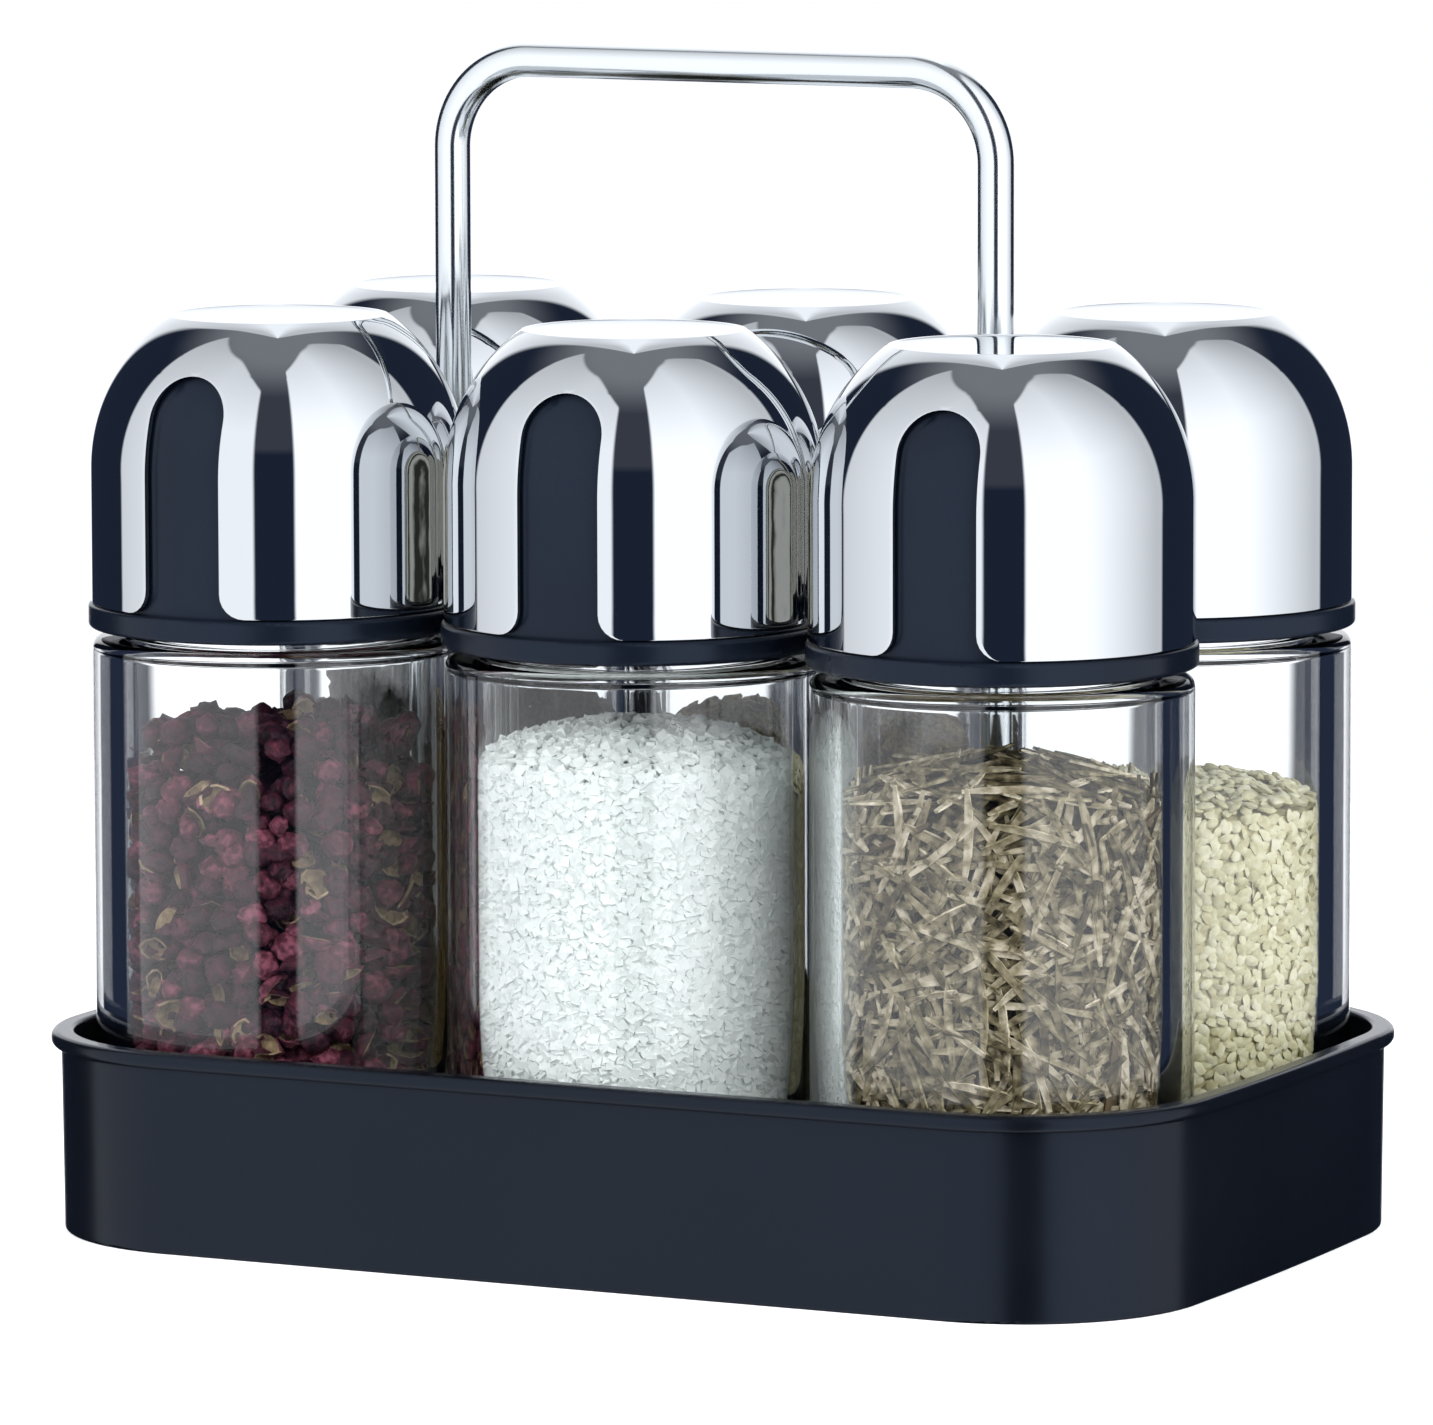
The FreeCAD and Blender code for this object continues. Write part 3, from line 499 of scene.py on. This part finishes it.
def fill_jar(name, spot, material, shape, size, pitch, level, heap, layers, opened, leaning, bits,
             backing, order):
    """One jar's filling. size is a grain's length, width and thickness, level is the height of the
    filling's edge, heap what its middle has more, bits the number of stems or foreign scraps, and
    backing how deep the core lies behind the last layer, as a share of a grain's thickness."""
    chance = random.Random(order)
    length, width, thick = size
    patterns = grain_patterns(shape, size, opened, chance)
    scraps = grain_patterns(needle, (1.4 * length, 0.1 * length, 0.08 * length), 0, chance)
    floor_z = jar_foot + BASE_THICKNESS
    bm = bmesh.new()

    def drop(position, facing, choice=patterns, lined=None):
        """Adds one grain whose flat side looks along facing, moved in where it would cut the glass."""
        grain = chance.choice(choice).copy()
        lean = Euler((chance.gauss(0, leaning), chance.gauss(0, leaning), 0)).to_matrix().to_4x4()
        spin_angle = Matrix.Rotation(chance.uniform(-math.pi, math.pi), 4, "Z")
        turned = facing.to_track_quat("Z", "Y").to_matrix().to_4x4() @ lean @ spin_angle
        grain.transform(Matrix.Translation(position) @ turned)
        over = max(vert.co.xy.length - bore_radius_at(vert.co.z) for vert in grain.vertices) + GLASS_GAP
        sunk = floor_z + GLASS_GAP - min(vert.co.z for vert in grain.vertices)
        inward = -Vector((position.x, position.y, 0)).normalized()
        grain.transform(Matrix.Translation(inward * max(over, 0) + Vector((0, 0, max(sunk, 0)))))
        count = len(grain.polygons)
        grain.attributes["tone"].data.foreach_set("value", [chance.uniform(0.15, 1)] * count)
        if lined is not None:
            grain.attributes["lining_and_groove_shade"].data.foreach_set("value", [lined] * count)
        bm.from_mesh(grain)
        bpy.data.meshes.remove(grain)

    def around(angle):
        return Vector((math.cos(angle), math.sin(angle), 0))

    def surface(share):
        """The filling's height at a share of the bore's radius from the axis."""
        return level + heap * (1 - share ** 3)

    for layer in range(layers):
        height = floor_z + thick / 2
        while height < level - 0.3 * (length - width):
            wall = bore_radius_at(height) - GLASS_GAP - thick * (0.5 + LAYER_SHARE * layer)
            count = int(2 * math.pi * wall / pitch)
            first = chance.uniform(0, 2 * math.pi)
            for index in range(count):
                outward = around(first + 2 * math.pi * (index + chance.uniform(-0.3, 0.3)) / count)
                deep = wall - chance.uniform(0, 0.25) * thick
                lift = height + chance.uniform(-0.4, 0.4) * pitch
                drop(outward * deep + Vector((0, 0, lift)), outward)
            height += pitch * 0.8
    rings = int(BORE_RADIUS / (0.7 * pitch))
    for number in range(rings):
        share = (number + 0.5) / rings
        wide = (BORE_RADIUS - thick) * share
        count = max(int(2 * math.pi * wide / pitch), 2)
        for index in range(count):
            outward = around(2 * math.pi * (index + chance.random()) / count)
            lift = surface(share) + chance.uniform(-0.6, 1.0) * thick
            drop(outward * wide + Vector((0, 0, lift)), Vector((0, 0, 1)) + outward * 0.3)
            if wide < BORE_FOOT_RADIUS - INNER_CORNER:
                drop(outward * wide + Vector((0, 0, floor_z + thick / 2)), Vector((0, 0, -1)))
    for _ in range(bits):
        height = chance.uniform(floor_z + length, level)
        outward = around(chance.uniform(0, 2 * math.pi))
        drop(outward * bore_at(height) + Vector((0, 0, height)), outward, scraps, 1.0)

    # The core's faces carry no tone of their own, so they take the dark end of the spice's colours: painted
    # shade in the gaps between the grains.
    core = bmesh.new()
    inset = thick * (backing + LAYER_SHARE * layers)
    outline = [(0, floor_z + thick), (BORE_FOOT_RADIUS - INNER_CORNER - inset, floor_z + thick)]
    outline += [(bore_radius_at(z) - inset, z)
                for z in spread(floor_z + INNER_CORNER, level - thick, CORE_STEPS)]
    for step in range(1, HEAP_STEPS + 1):
        share = 1 - step / HEAP_STEPS
        outline.append(((BORE_RADIUS - inset) * share, surface(share) - thick))
    spun(core, outline, CORE_SIDES)
    shade_core_mesh = bpy.data.meshes.new("core")
    core.to_mesh(shade_core_mesh)
    core.free()
    bm.from_mesh(shade_core_mesh)
    bm.transform(Matrix.Translation(jar_axis(spot)))
    for used in patterns + scraps + [shade_core_mesh]:
        bpy.data.meshes.remove(used)
    return to_object(name, bm, material, f"jar_{spot}", sharp=GRAIN_SHARP)


def dried_spice(name, shades, lining_and_groove_shade, mottle_mm, wrinkle, **settings):
    """Dried plant stuff: matt, with a shade for each grain, mottled within it, and a second colour for a
    husk's pale inside, for stems and for the painted shade in a needle's groove.
    """
    material, tree, place = new_material(name)
    tone = add_node(tree, "Attribute", attribute_name="tone").outputs["Fac"]
    inside = add_node(tree, "Attribute", attribute_name="lining_and_groove_shade").outputs["Fac"]
    mottle = add_node(tree, "TexNoise", {"Vector": place, "Scale": 1 / (mottle_mm * MM), "Detail": 4.0})
    spots = add_node(tree, "MapRange", {
        "Value": mottle.outputs["Fac"], "From Min": 0.35, "From Max": 0.65, "To Max": 0.7}).outputs[0]
    mixed = add_node(tree, "Math", {0: spots, 1: tone}, operation="ADD")
    shade = add_node(tree, "MapRange", {
        "Value": mixed.outputs[0], "From Min": 0.15, "From Max": 1.6}).outputs[0]
    skin = add_node(tree, "ValToRGB", {"Fac": shade}, shades).outputs[0]
    lining_and_groove_colour = add_node(tree, "ValToRGB", {"Fac": shade}, lining_and_groove_shade).outputs[0]
    colour = add_node(tree, "Mix", {0: inside, 6: skin, 7: lining_and_groove_colour}, data_type="RGBA").outputs[2]
    bump = add_node(tree, "Bump", {"Height": mottle.outputs["Fac"], "Distance": wrinkle * MM})
    values = {"Base Color": colour, "Normal": bump.outputs[0], "IOR": 1.4}
    shader = add_node(tree, "BsdfPrincipled", {**values, **settings})
    add_node(tree, "OutputMaterial", {"Surface": shader.outputs[0]})
    return material


red_husk = dried_spice(
    "dried_red_pepper_husk", [(0.0, "#0b0307"), (0.3, "#27101a"), (0.7, "#4e222e"), (1.0, "#844859")],
    [(0.0, "#553c2e"), (1.0, "#b7a17f")], 1.1, 0.6, Roughness=0.5)
salt = dried_spice(
    "coarse_salt", [(0.0, "#dbe1de"), (0.5, "#e5e9e7"), (1.0, "#eef1ef")],
    [(0.0, "#ffffff"), (1.0, "#ffffff")], 1.0, 0.05, Roughness=0.3)
# The rosemary's second colours are dark: they make its stems, and at 0.45 the painted shade in each needle's
# groove.
leaf = dried_spice(
    "dried_rosemary_leaf", [(0.0, "#17120a"), (0.3, "#5a5238"), (0.65, "#aa9f81"), (1.0, "#eee3cd")],
    [(0.0, "#1d170d"), (1.0, "#5e4f3a")], 1.5, 0.15, Roughness=0.6)
hulled = dried_spice(
    "hulled_sesame", [(0.0, "#b2a982"), (0.5, "#ccc7a4"), (1.0, "#e0dbc2")],
    [(0.0, "#4d2f38"), (1.0, "#6b4752")], 1.0, 0.05, Roughness=0.4)
black_corn = dried_spice(
    "dried_black_pepper", [(0.0, "#120e0c"), (0.5, "#2c221c"), (1.0, "#4c3f34")],
    [(0.0, "#54463a"), (1.0, "#54463a")], 0.9, 0.4, Roughness=0.6)
brown_seed = dried_spice(
    "dried_cumin_seed", [(0.0, "#4b391f"), (0.5, "#846b42"), (1.0, "#b19a6b")],
    [(0.0, "#c2ae82"), (1.0, "#c2ae82")], 0.8, 0.15, Roughness=0.6)

# Name, material, shape, grain size, pitch, level and heap in mm, layers, opened share, lean in
# radians, bits and backing.
FILLINGS = {
    "front_left": ("red_pepper_husks", red_husk, husk, (4.4, 3.8, 3.3), 3.6, 66.5, 3, 2, 0.5, 0.9, 26, 0.6),
    "front_middle": ("coarse_salt", salt, crystal, (1.5, 1.3, 0.9), 1.0, 69, 4, 1, 0, 0.35, 0, 0.0),
    "front_right": ("rosemary_needles", leaf, needle, (11, 1.2, 0.9), 3.7, 67, 4.5, 4, 0, 0.10, 14, 0.9),
    "back_left": ("black_peppercorns", black_corn, husk, (4.8, 4.7, 4.6), 4.2, 68, 3, 1, 0, 1.0, 0, 0.6),
    "back_middle": ("cumin_seeds", brown_seed, seed, (5.5, 1.6, 1.4), 2.2, 66, 3, 2, 0, 0.1, 8, 0.6),
    "back_right": ("white_sesame", hulled, seed, (2.6, 1.65, 1.0), 1.45, 60.5, 2, 1, 0, 0.25, 8, 0.2),
}
for order, spot in enumerate(SPOTS, start=1):
    name, material, shape, size, pitch, level, heap, *rest = FILLINGS[spot]
    fill_jar(name, spot, material, shape, [edge * MM for edge in size], pitch * MM, level * MM, heap * MM,
             *rest, order)

# ---------------------------------------------------------------- seal rings
# A soft silicone washer in each cap, squeezed between the cap's ledge and the jar's mouth.
# Uncoloured silicone is milky: light goes some way in before it comes back.

silicone, tree, place = new_material("moulded_silicone")
cloud = add_node(tree, "TexNoise", {"Vector": place, "Scale": 1 / (6 * MM), "Detail": 2.0})
milk = add_node(tree, "ValToRGB", {"Fac": cloud.outputs["Fac"]}, [(0.3, "#d9dbd8"), (0.7, "#e6e8e5")])
rubber = add_node(tree, "BsdfPrincipled", {
    "Base Color": milk.outputs[0], "Roughness": 0.45, "IOR": 1.41,
    "Subsurface Weight": 0.3, "Subsurface Scale": 1 * MM})
add_node(tree, "OutputMaterial", {"Surface": rubber.outputs[0]})
for spot in SPOTS:
    paint_node("seal_ring_" + spot, silicone)

# ---------------------------------------------------------------- caps
# Black ABS, moulded in one with its threaded skirt, grip ring and dome. The dome has a pour
# window on one side and sprinkle holes on the other. It is a shade finer in texture than the tray.

cap_abs = moulded_abs("abs_fine_satin_black", "#090d14", "#0d131e", 0.25, 0.25, 0.30, 0.23)
for spot in SPOTS:
    paint_node("cap_base_" + spot, cap_abs)

# ---------------------------------------------------------------- chrome shells
# Deep-drawn steel, polished and chrome plated. Each is a cylinder that closes in a part sphere
# with a dished crown. A slot runs up one side and flares where it meets the bottom edge.

shell_low, shell_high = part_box("chrome_shell_" + SPOTS[0])
shell_radius = (shell_high.x - shell_low.x) / 2
shell_foot, shell_top = shell_low.z, shell_high.z
SHELL_WALL = 1.0 * MM
DOME_CENTRE = 106.8 * MM
DISH_RADIUS = 14.6 * MM
DISH_DEPTH = 1.0 * MM
CROWN_ROUND = 0.35 * MM
HUB_RADIUS = 3.0 * MM
HUB_BOTTOM = 120.3 * MM
SLOT_HALF = 5.9 * MM
SLOT_TOP = 121.0 * MM
SLOT_FLARE = 3.4 * MM
SLOT_COLUMNS = 10
SHELL_SIDES = 256
FAN_HEIGHT = 4 * MM
WARP_REACH = math.radians(60)
SLOT_EDGE_ROUND = 0.15 * MM
CAP_TURN = {"front_left": -3.0, "front_middle": 2.5, "front_right": 4.0}
SHELL_SHARP = 40
SHARP_RIM = math.radians(50)
LEVEL_EDGE = 1e-7
slot_knee = shell_foot + SLOT_FLARE
slot_crown = SLOT_TOP - SLOT_HALF
column_angle = 2 * math.pi / SHELL_SIDES
slot_angle = SLOT_COLUMNS * column_angle


def slot_half_width(height):
    """Half the slot's width at a height: flared at the foot, straight, then a round top."""
    if height < slot_knee:
        return SLOT_HALF + SLOT_FLARE - math.sqrt(max(SLOT_FLARE ** 2 - (slot_knee - height) ** 2, 0))
    if height < slot_crown:
        return SLOT_HALF
    return math.sqrt(max(SLOT_HALF ** 2 - (height - slot_crown) ** 2, 0))


def wall_radius(outer, height):
    """A shell surface's radius: straight up to the dome's centre, then part of a sphere."""
    rise = max(height - DOME_CENTRE, 0)
    return math.sqrt(outer ** 2 - rise ** 2)


slot_heights = [shell_foot]
slot_heights += [slot_knee - SLOT_FLARE * math.cos(math.radians(15 * step)) for step in range(1, 7)]
slot_heights += spread(slot_knee, slot_crown, 22)
slot_heights += [slot_crown + SLOT_HALF * math.sin(math.radians(7.5 * step)) for step in range(1, 13)]
crown_radius = wall_radius(shell_radius, shell_top)
inner_radius = shell_radius - SHELL_WALL
roof_underside = shell_top - DISH_DEPTH - SHELL_WALL
outer_heights = slot_heights + spread(SLOT_TOP, shell_top - CROWN_ROUND, 12)
inner_heights = slot_heights + spread(SLOT_TOP, roof_underside, 8)
profile = [(wall_radius(shell_radius, height), height) for height in outer_heights]
profile += arc(crown_radius - 0.5 * CROWN_ROUND, shell_top - CROWN_ROUND, CROWN_ROUND, 45, 90, 3)
for fall in [math.radians(turn) for turn in range(0, 91, 9)]:
    profile.append((DISH_RADIUS * math.cos(fall), shell_top - DISH_DEPTH * math.sin(fall)))
profile += [(0, HUB_BOTTOM), (HUB_RADIUS, HUB_BOTTOM), (HUB_RADIUS, roof_underside)]
profile += [(wall_radius(inner_radius, height), height) for height in reversed(inner_heights)]

bm = bmesh.new()
verts = [bm.verts.new((r, 0, z)) for r, z in profile]
edges = [bm.edges.new(pair) for pair in zip(verts, verts[1:] + verts[:1]) if pair[0].co.x or pair[1].co.x]
bmesh.ops.spin(bm, geom=verts + edges, cent=(0, 0, 0), axis=(0, 0, 1),
               angle=2 * math.pi, steps=SHELL_SIDES, use_merge=True)
bmesh.ops.remove_doubles(bm, verts=bm.verts, dist=SMALLEST_EDGE)
bmesh.ops.recalc_face_normals(bm, faces=bm.faces)


def off_slot(co):
    """A point's angle about the axis, measured from the middle of the slot."""
    return math.atan2(co.x, -co.y)


slot_faces = []
for face in bm.faces:
    middle = face.calc_center_median()
    if abs(off_slot(middle)) < slot_angle and middle.z < SLOT_TOP and middle.xy.length > inner_radius / 2:
        slot_faces.append(face)
for vert in bm.verts:
    away = off_slot(vert.co)
    radius = vert.co.xy.length
    if radius < inner_radius / 2 or abs(away) > WARP_REACH:
        continue
    fan = min(max(vert.co.z - SLOT_TOP, 0) / FAN_HEIGHT, 1)
    edge_angle = math.asin(min(slot_half_width(min(vert.co.z, SLOT_TOP)) / radius, 1))
    edge_angle += (slot_angle - edge_angle) * fan
    if abs(away) <= slot_angle:
        moved = away * edge_angle / slot_angle
    else:
        share = (abs(away) - slot_angle) / (WARP_REACH - slot_angle)
        moved = math.copysign(edge_angle + (WARP_REACH - edge_angle) * share, away)
    vert.co.x, vert.co.y = radius * math.sin(moved), -radius * math.cos(moved)
bmesh.ops.delete(bm, geom=slot_faces, context="FACES")
bmesh.ops.remove_doubles(bm, verts=bm.verts, dist=SMALLEST_EDGE)
slot_rim = [edge for edge in bm.edges if edge.is_boundary]
bottom_rim = [e for e in slot_rim if abs(e.verts[0].co.z - e.verts[1].co.z) < LEVEL_EDGE
              and abs(e.verts[0].co.xy.length - e.verts[1].co.xy.length) > SHELL_WALL / 2]
sides = [edge for edge in slot_rim if edge not in bottom_rim]
bmesh.ops.bridge_loops(bm, edges=sides)
bmesh.ops.recalc_face_normals(bm, faces=bm.faces)
sharp_rim = [e for e in bm.edges if len(e.link_faces) == 2 and e.calc_face_angle() > SHARP_RIM
             and e.verts[0].co.z < SLOT_TOP + FAN_HEIGHT and e.verts[0].co.xy.length > inner_radius / 2]
bmesh.ops.bevel(bm, geom=sharp_rim, offset=SLOT_EDGE_ROUND, segments=2, profile=0.5,
                affect="EDGES", material=-1, clamp_overlap=True)
shell_pattern = bpy.data.meshes.new("shell_pattern")
bm.to_mesh(shell_pattern)
bm.free()

shell_chrome = plated("chrome_plated_shell", "#d2d5d8", 0.025, 12, 0.03)
for spot in SPOTS:
    turn = math.radians(CAP_TURN.get(spot, 0))
    shell = to_object(f"shell_{spot}", placed_copy(shell_pattern, spot, turn), shell_chrome,
                      f"shell_{spot}", SHELL_SHARP)
    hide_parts(f"chrome_shell_{spot}")

# ---------------------------------------------------------------- stage, light and camera
# A white floor under the rack, two tall softboxes with a dark gap between them behind the camera,
# a grey ceiling, a bright wall behind the rack, and a camera with a long lens to the right of the
# rack's front. Swing and climb are degrees round from the camera and up from level.

FLOOR_RADIUS = 0.45
LEFT_BOX = (-110.0, -13.0)
RIGHT_BOX = (12.0, 108.0)
GAP = (-14.0, 13.0)
BOX_SOFT = 1.2
EDGE_SOFT = 1.5
BACK_SOFT = 2.0
LAMP_SIZE = 0.8
LAMP_DISTANCE = 1.1
LAMP_AIM = Vector((0, 0, 0.06))
CAMERA_PLACE = (0.64637, -1.31579, 0.2579)
CAMERA_AZIMUTH = math.radians(26.193)
CAMERA_ELEVATION = math.radians(7.223)
CAMERA_ROLL = math.radians(-0.144)

camera_data = bpy.data.cameras.new("camera")
camera_data.lens = 266.9
camera_data.sensor_width = 36
camera_data.clip_end = 20
camera = bpy.data.objects.new("camera", camera_data)
bpy.context.scene.collection.objects.link(camera)
camera.location = CAMERA_PLACE
aim = Euler((math.pi / 2 - CAMERA_ELEVATION, 0, CAMERA_AZIMUTH)).to_matrix()
camera.rotation_euler = (aim @ Matrix.Rotation(CAMERA_ROLL, 3, "Z")).to_euler()
bpy.context.scene.camera = camera
bpy.context.scene.view_settings.view_transform = "Standard"

paper, tree, place = new_material("matt_white_paper")
tooth = add_node(tree, "TexNoise", {"Vector": place, "Scale": 1 / (0.8 * MM), "Detail": 3.0})
paper_bump = add_node(tree, "Bump", {
    "Height": tooth.outputs["Fac"], "Strength": 0.1, "Distance": 0.05 * MM})
paper_sheet = add_node(tree, "BsdfPrincipled", {
    "Base Color": linear("#f7f7f7"), "Roughness": 0.8, "Normal": paper_bump.outputs[0],
    "Emission Color": linear("#ffffff"), "Emission Strength": 0.35})
add_node(tree, "OutputMaterial", {"Surface": paper_sheet.outputs[0]})
bm = bmesh.new()
bmesh.ops.create_circle(bm, cap_ends=True, radius=FLOOR_RADIUS, segments=96)
floor_mesh = bpy.data.meshes.new("floor")
bm.to_mesh(floor_mesh)
bm.free()
floor_mesh.materials.append(paper)
floor = bpy.data.objects.new("floor", floor_mesh)
bpy.context.scene.collection.objects.link(floor)
floor.visible_glossy = False
floor.visible_transmission = False

world = bpy.data.worlds.new("studio")
world.use_nodes = True
bpy.context.scene.world = world
tree = world.node_tree
tree.nodes.clear()


direction = add_node(tree, "TexCoord").outputs["Generated"]
turned = add_node(tree, "VectorRotate", {
    "Vector": direction, "Angle": -CAMERA_AZIMUTH}, rotation_type="Z_AXIS")
axes = add_node(tree, "SeparateXYZ", {"Vector": turned.outputs[0]}).outputs
behind = add_node(tree, "Math", {0: axes["Y"], 1: -1.0}, operation="MULTIPLY").outputs[0]
round_arc = add_node(tree, "Math", {0: axes["X"], 1: behind}, operation="ARCTAN2").outputs[0]
swing = add_node(tree, "Math", {0: round_arc}, operation="DEGREES").outputs[0]
side = add_node(tree, "Math", {0: swing}, operation="ABSOLUTE").outputs[0]
up_arc = add_node(tree, "Math", {0: axes["Z"]}, operation="ARCSINE").outputs[0]
climb = add_node(tree, "Math", {0: up_arc}, operation="DEGREES").outputs[0]


def band(limits, soft):
    """One between two swings and nothing outside, with soft edges."""
    low, high = limits
    rise = add_node(tree, "MapRange", {"Value": swing, "From Min": low - soft, "From Max": low + soft},
                    interpolation_type="SMOOTHSTEP").outputs[0]
    fall = add_node(tree, "MapRange", {"Value": swing, "From Min": high - soft, "From Max": high + soft,
                                       "To Min": 1.0, "To Max": 0.0},
                    interpolation_type="SMOOTHSTEP").outputs[0]
    return add_node(tree, "Math", {0: rise, 1: fall}, operation="MULTIPLY").outputs[0]


def below(value, limit, soft):
    """One under a limit that may itself vary, and nothing over it, with a soft edge."""
    room = add_node(tree, "Math", {0: limit, 1: value}, operation="SUBTRACT").outputs[0]
    return add_node(tree, "MapRange", {"Value": room, "From Min": -soft, "From Max": soft},
                    interpolation_type="SMOOTHSTEP").outputs[0]


def panel(limits, peak, left_end, left_drop, right_end, right_drop):
    """A softbox between two swings. Its top edge is level in the middle, and falls off as a curve
    left of one swing and right of another."""
    edge = peak
    for sign, end, drop in ((-1.0, left_end, left_drop), (1.0, right_end, right_drop)):
        past = add_node(tree, "Math", {0: swing, 1: sign, 2: -sign * end},
                        operation="MULTIPLY_ADD").outputs[0]
        over = add_node(tree, "Math", {0: past, 1: 0.0}, operation="MAXIMUM").outputs[0]
        square = add_node(tree, "Math", {0: over, 1: over}, operation="MULTIPLY").outputs[0]
        fall = add_node(tree, "Math", {0: square, 1: drop}, operation="MULTIPLY").outputs[0]
        edge = add_node(tree, "Math", {0: edge, 1: fall}, operation="SUBTRACT").outputs[0]
    under = below(climb, edge, EDGE_SOFT)
    return add_node(tree, "Math", {0: band(limits, BOX_SOFT), 1: under}, operation="MULTIPLY").outputs[0]


left_box = panel(LEFT_BOX, 68.0, -110.0, 0.0, -58.0, 0.0082)
right_box = panel(RIGHT_BOX, 76.0, 62.0, 0.0045, 80.0, 0.02)
left_level = add_node(tree, "MapRange", {"Value": swing, "From Min": -108.0, "From Max": -50.0,
                                         "To Min": 0.95, "To Max": 1.32}).outputs[0]
right_level = add_node(tree, "MapRange", {"Value": swing, "From Min": 50.0, "From Max": 102.0,
                                          "To Min": 1.6, "To Max": 0.78}).outputs[0]
high_loss = add_node(tree, "MapRange", {"Value": climb, "From Min": 25.0, "From Max": 75.0,
                                        "To Min": 1.0, "To Max": 0.62}).outputs[0]
gap_level = add_node(tree, "MapRange", {"Value": climb, "From Min": 12.0, "From Max": 16.0,
                                        "To Min": 0.0, "To Max": 0.04}).outputs[0]
ceiling = add_node(tree, "MapRange", {"Value": climb, "From Min": 38.0, "From Max": 75.0, "To Min": 0.0,
                                      "To Max": 0.24}, interpolation_type="SMOOTHSTEP").outputs[0]

# The bright wall behind the rack is narrower in the chrome than through the glass, as dark flags
# stand at its two sides.
mirrored = add_node(tree, "LightPath").outputs["Is Glossy Ray"]
low_edge = add_node(tree, "Math", {0: mirrored, 1: 20.0, 2: 146.0}, operation="MULTIPLY_ADD").outputs[0]
back_edge = add_node(tree, "MapRange", {"Value": climb, "From Min": -8.0, "From Max": 62.0,
                                        "To Min": low_edge, "To Max": 127.0}, clamp=False).outputs[0]
back = below(back_edge, side, BACK_SOFT)
back_level = add_node(tree, "MapRange", {"Value": side, "From Min": 130.0, "From Max": 165.0,
                                         "To Min": 0.75, "To Max": 1.35}).outputs[0]
gap = band(GAP, EDGE_SOFT)
light = add_node(tree, "Math", {0: left_box, 1: left_level}, operation="MULTIPLY").outputs[0]
light = add_node(tree, "Math", {0: right_box, 1: right_level, 2: light}, operation="MULTIPLY_ADD").outputs[0]
light = add_node(tree, "Math", {0: light, 1: high_loss}, operation="MULTIPLY").outputs[0]
light = add_node(tree, "Math", {0: gap, 1: gap_level, 2: light}, operation="MULTIPLY_ADD").outputs[0]
light = add_node(tree, "Math", {0: back, 1: back_level, 2: light}, operation="MULTIPLY_ADD").outputs[0]
light = add_node(tree, "Math", {0: light, 1: ceiling}, operation="MAXIMUM").outputs[0]
lamps = add_node(tree, "Background", {"Color": linear("#fafcff"), "Strength": light})
walls = add_node(tree, "Background", {"Color": linear("#262f42"), "Strength": 0.8})
studio = add_node(tree, "AddShader", {0: lamps.outputs[0], 1: walls.outputs[0]})
plain = add_node(tree, "Background", {"Color": linear("#ffffff"), "Strength": 1.0})
rays = add_node(tree, "LightPath").outputs["Is Camera Ray"]
seen = add_node(tree, "MixShader", {"Fac": rays, 1: studio.outputs[0], 2: plain.outputs[0]})
add_node(tree, "OutputWorld", {"Surface": seen.outputs[0]})


def softbox(name, swing_angle, climb_angle, watts):
    """One of the soft lamps in front of its own reflected panel. It lights, but shows in no surface."""
    data = bpy.data.lights.new(name, "AREA")
    data.shape = "SQUARE"
    data.size = LAMP_SIZE
    data.energy = watts
    lamp = bpy.data.objects.new(name, data)
    bpy.context.scene.collection.objects.link(lamp)
    turn, rise = CAMERA_AZIMUTH + math.radians(swing_angle), math.radians(climb_angle)
    toward = Vector((math.sin(turn) * math.cos(rise), -math.cos(turn) * math.cos(rise), math.sin(rise)))
    lamp.location = toward * LAMP_DISTANCE + LAMP_AIM
    lamp.rotation_euler = toward.to_track_quat("Z", "Y").to_euler()
    lamp.visible_camera = lamp.visible_glossy = lamp.visible_transmission = False


softbox("right_softbox", 40, 25, 12)
softbox("left_softbox", -50, 30, 9)
softbox("back_softbox", 170, 35, 6)
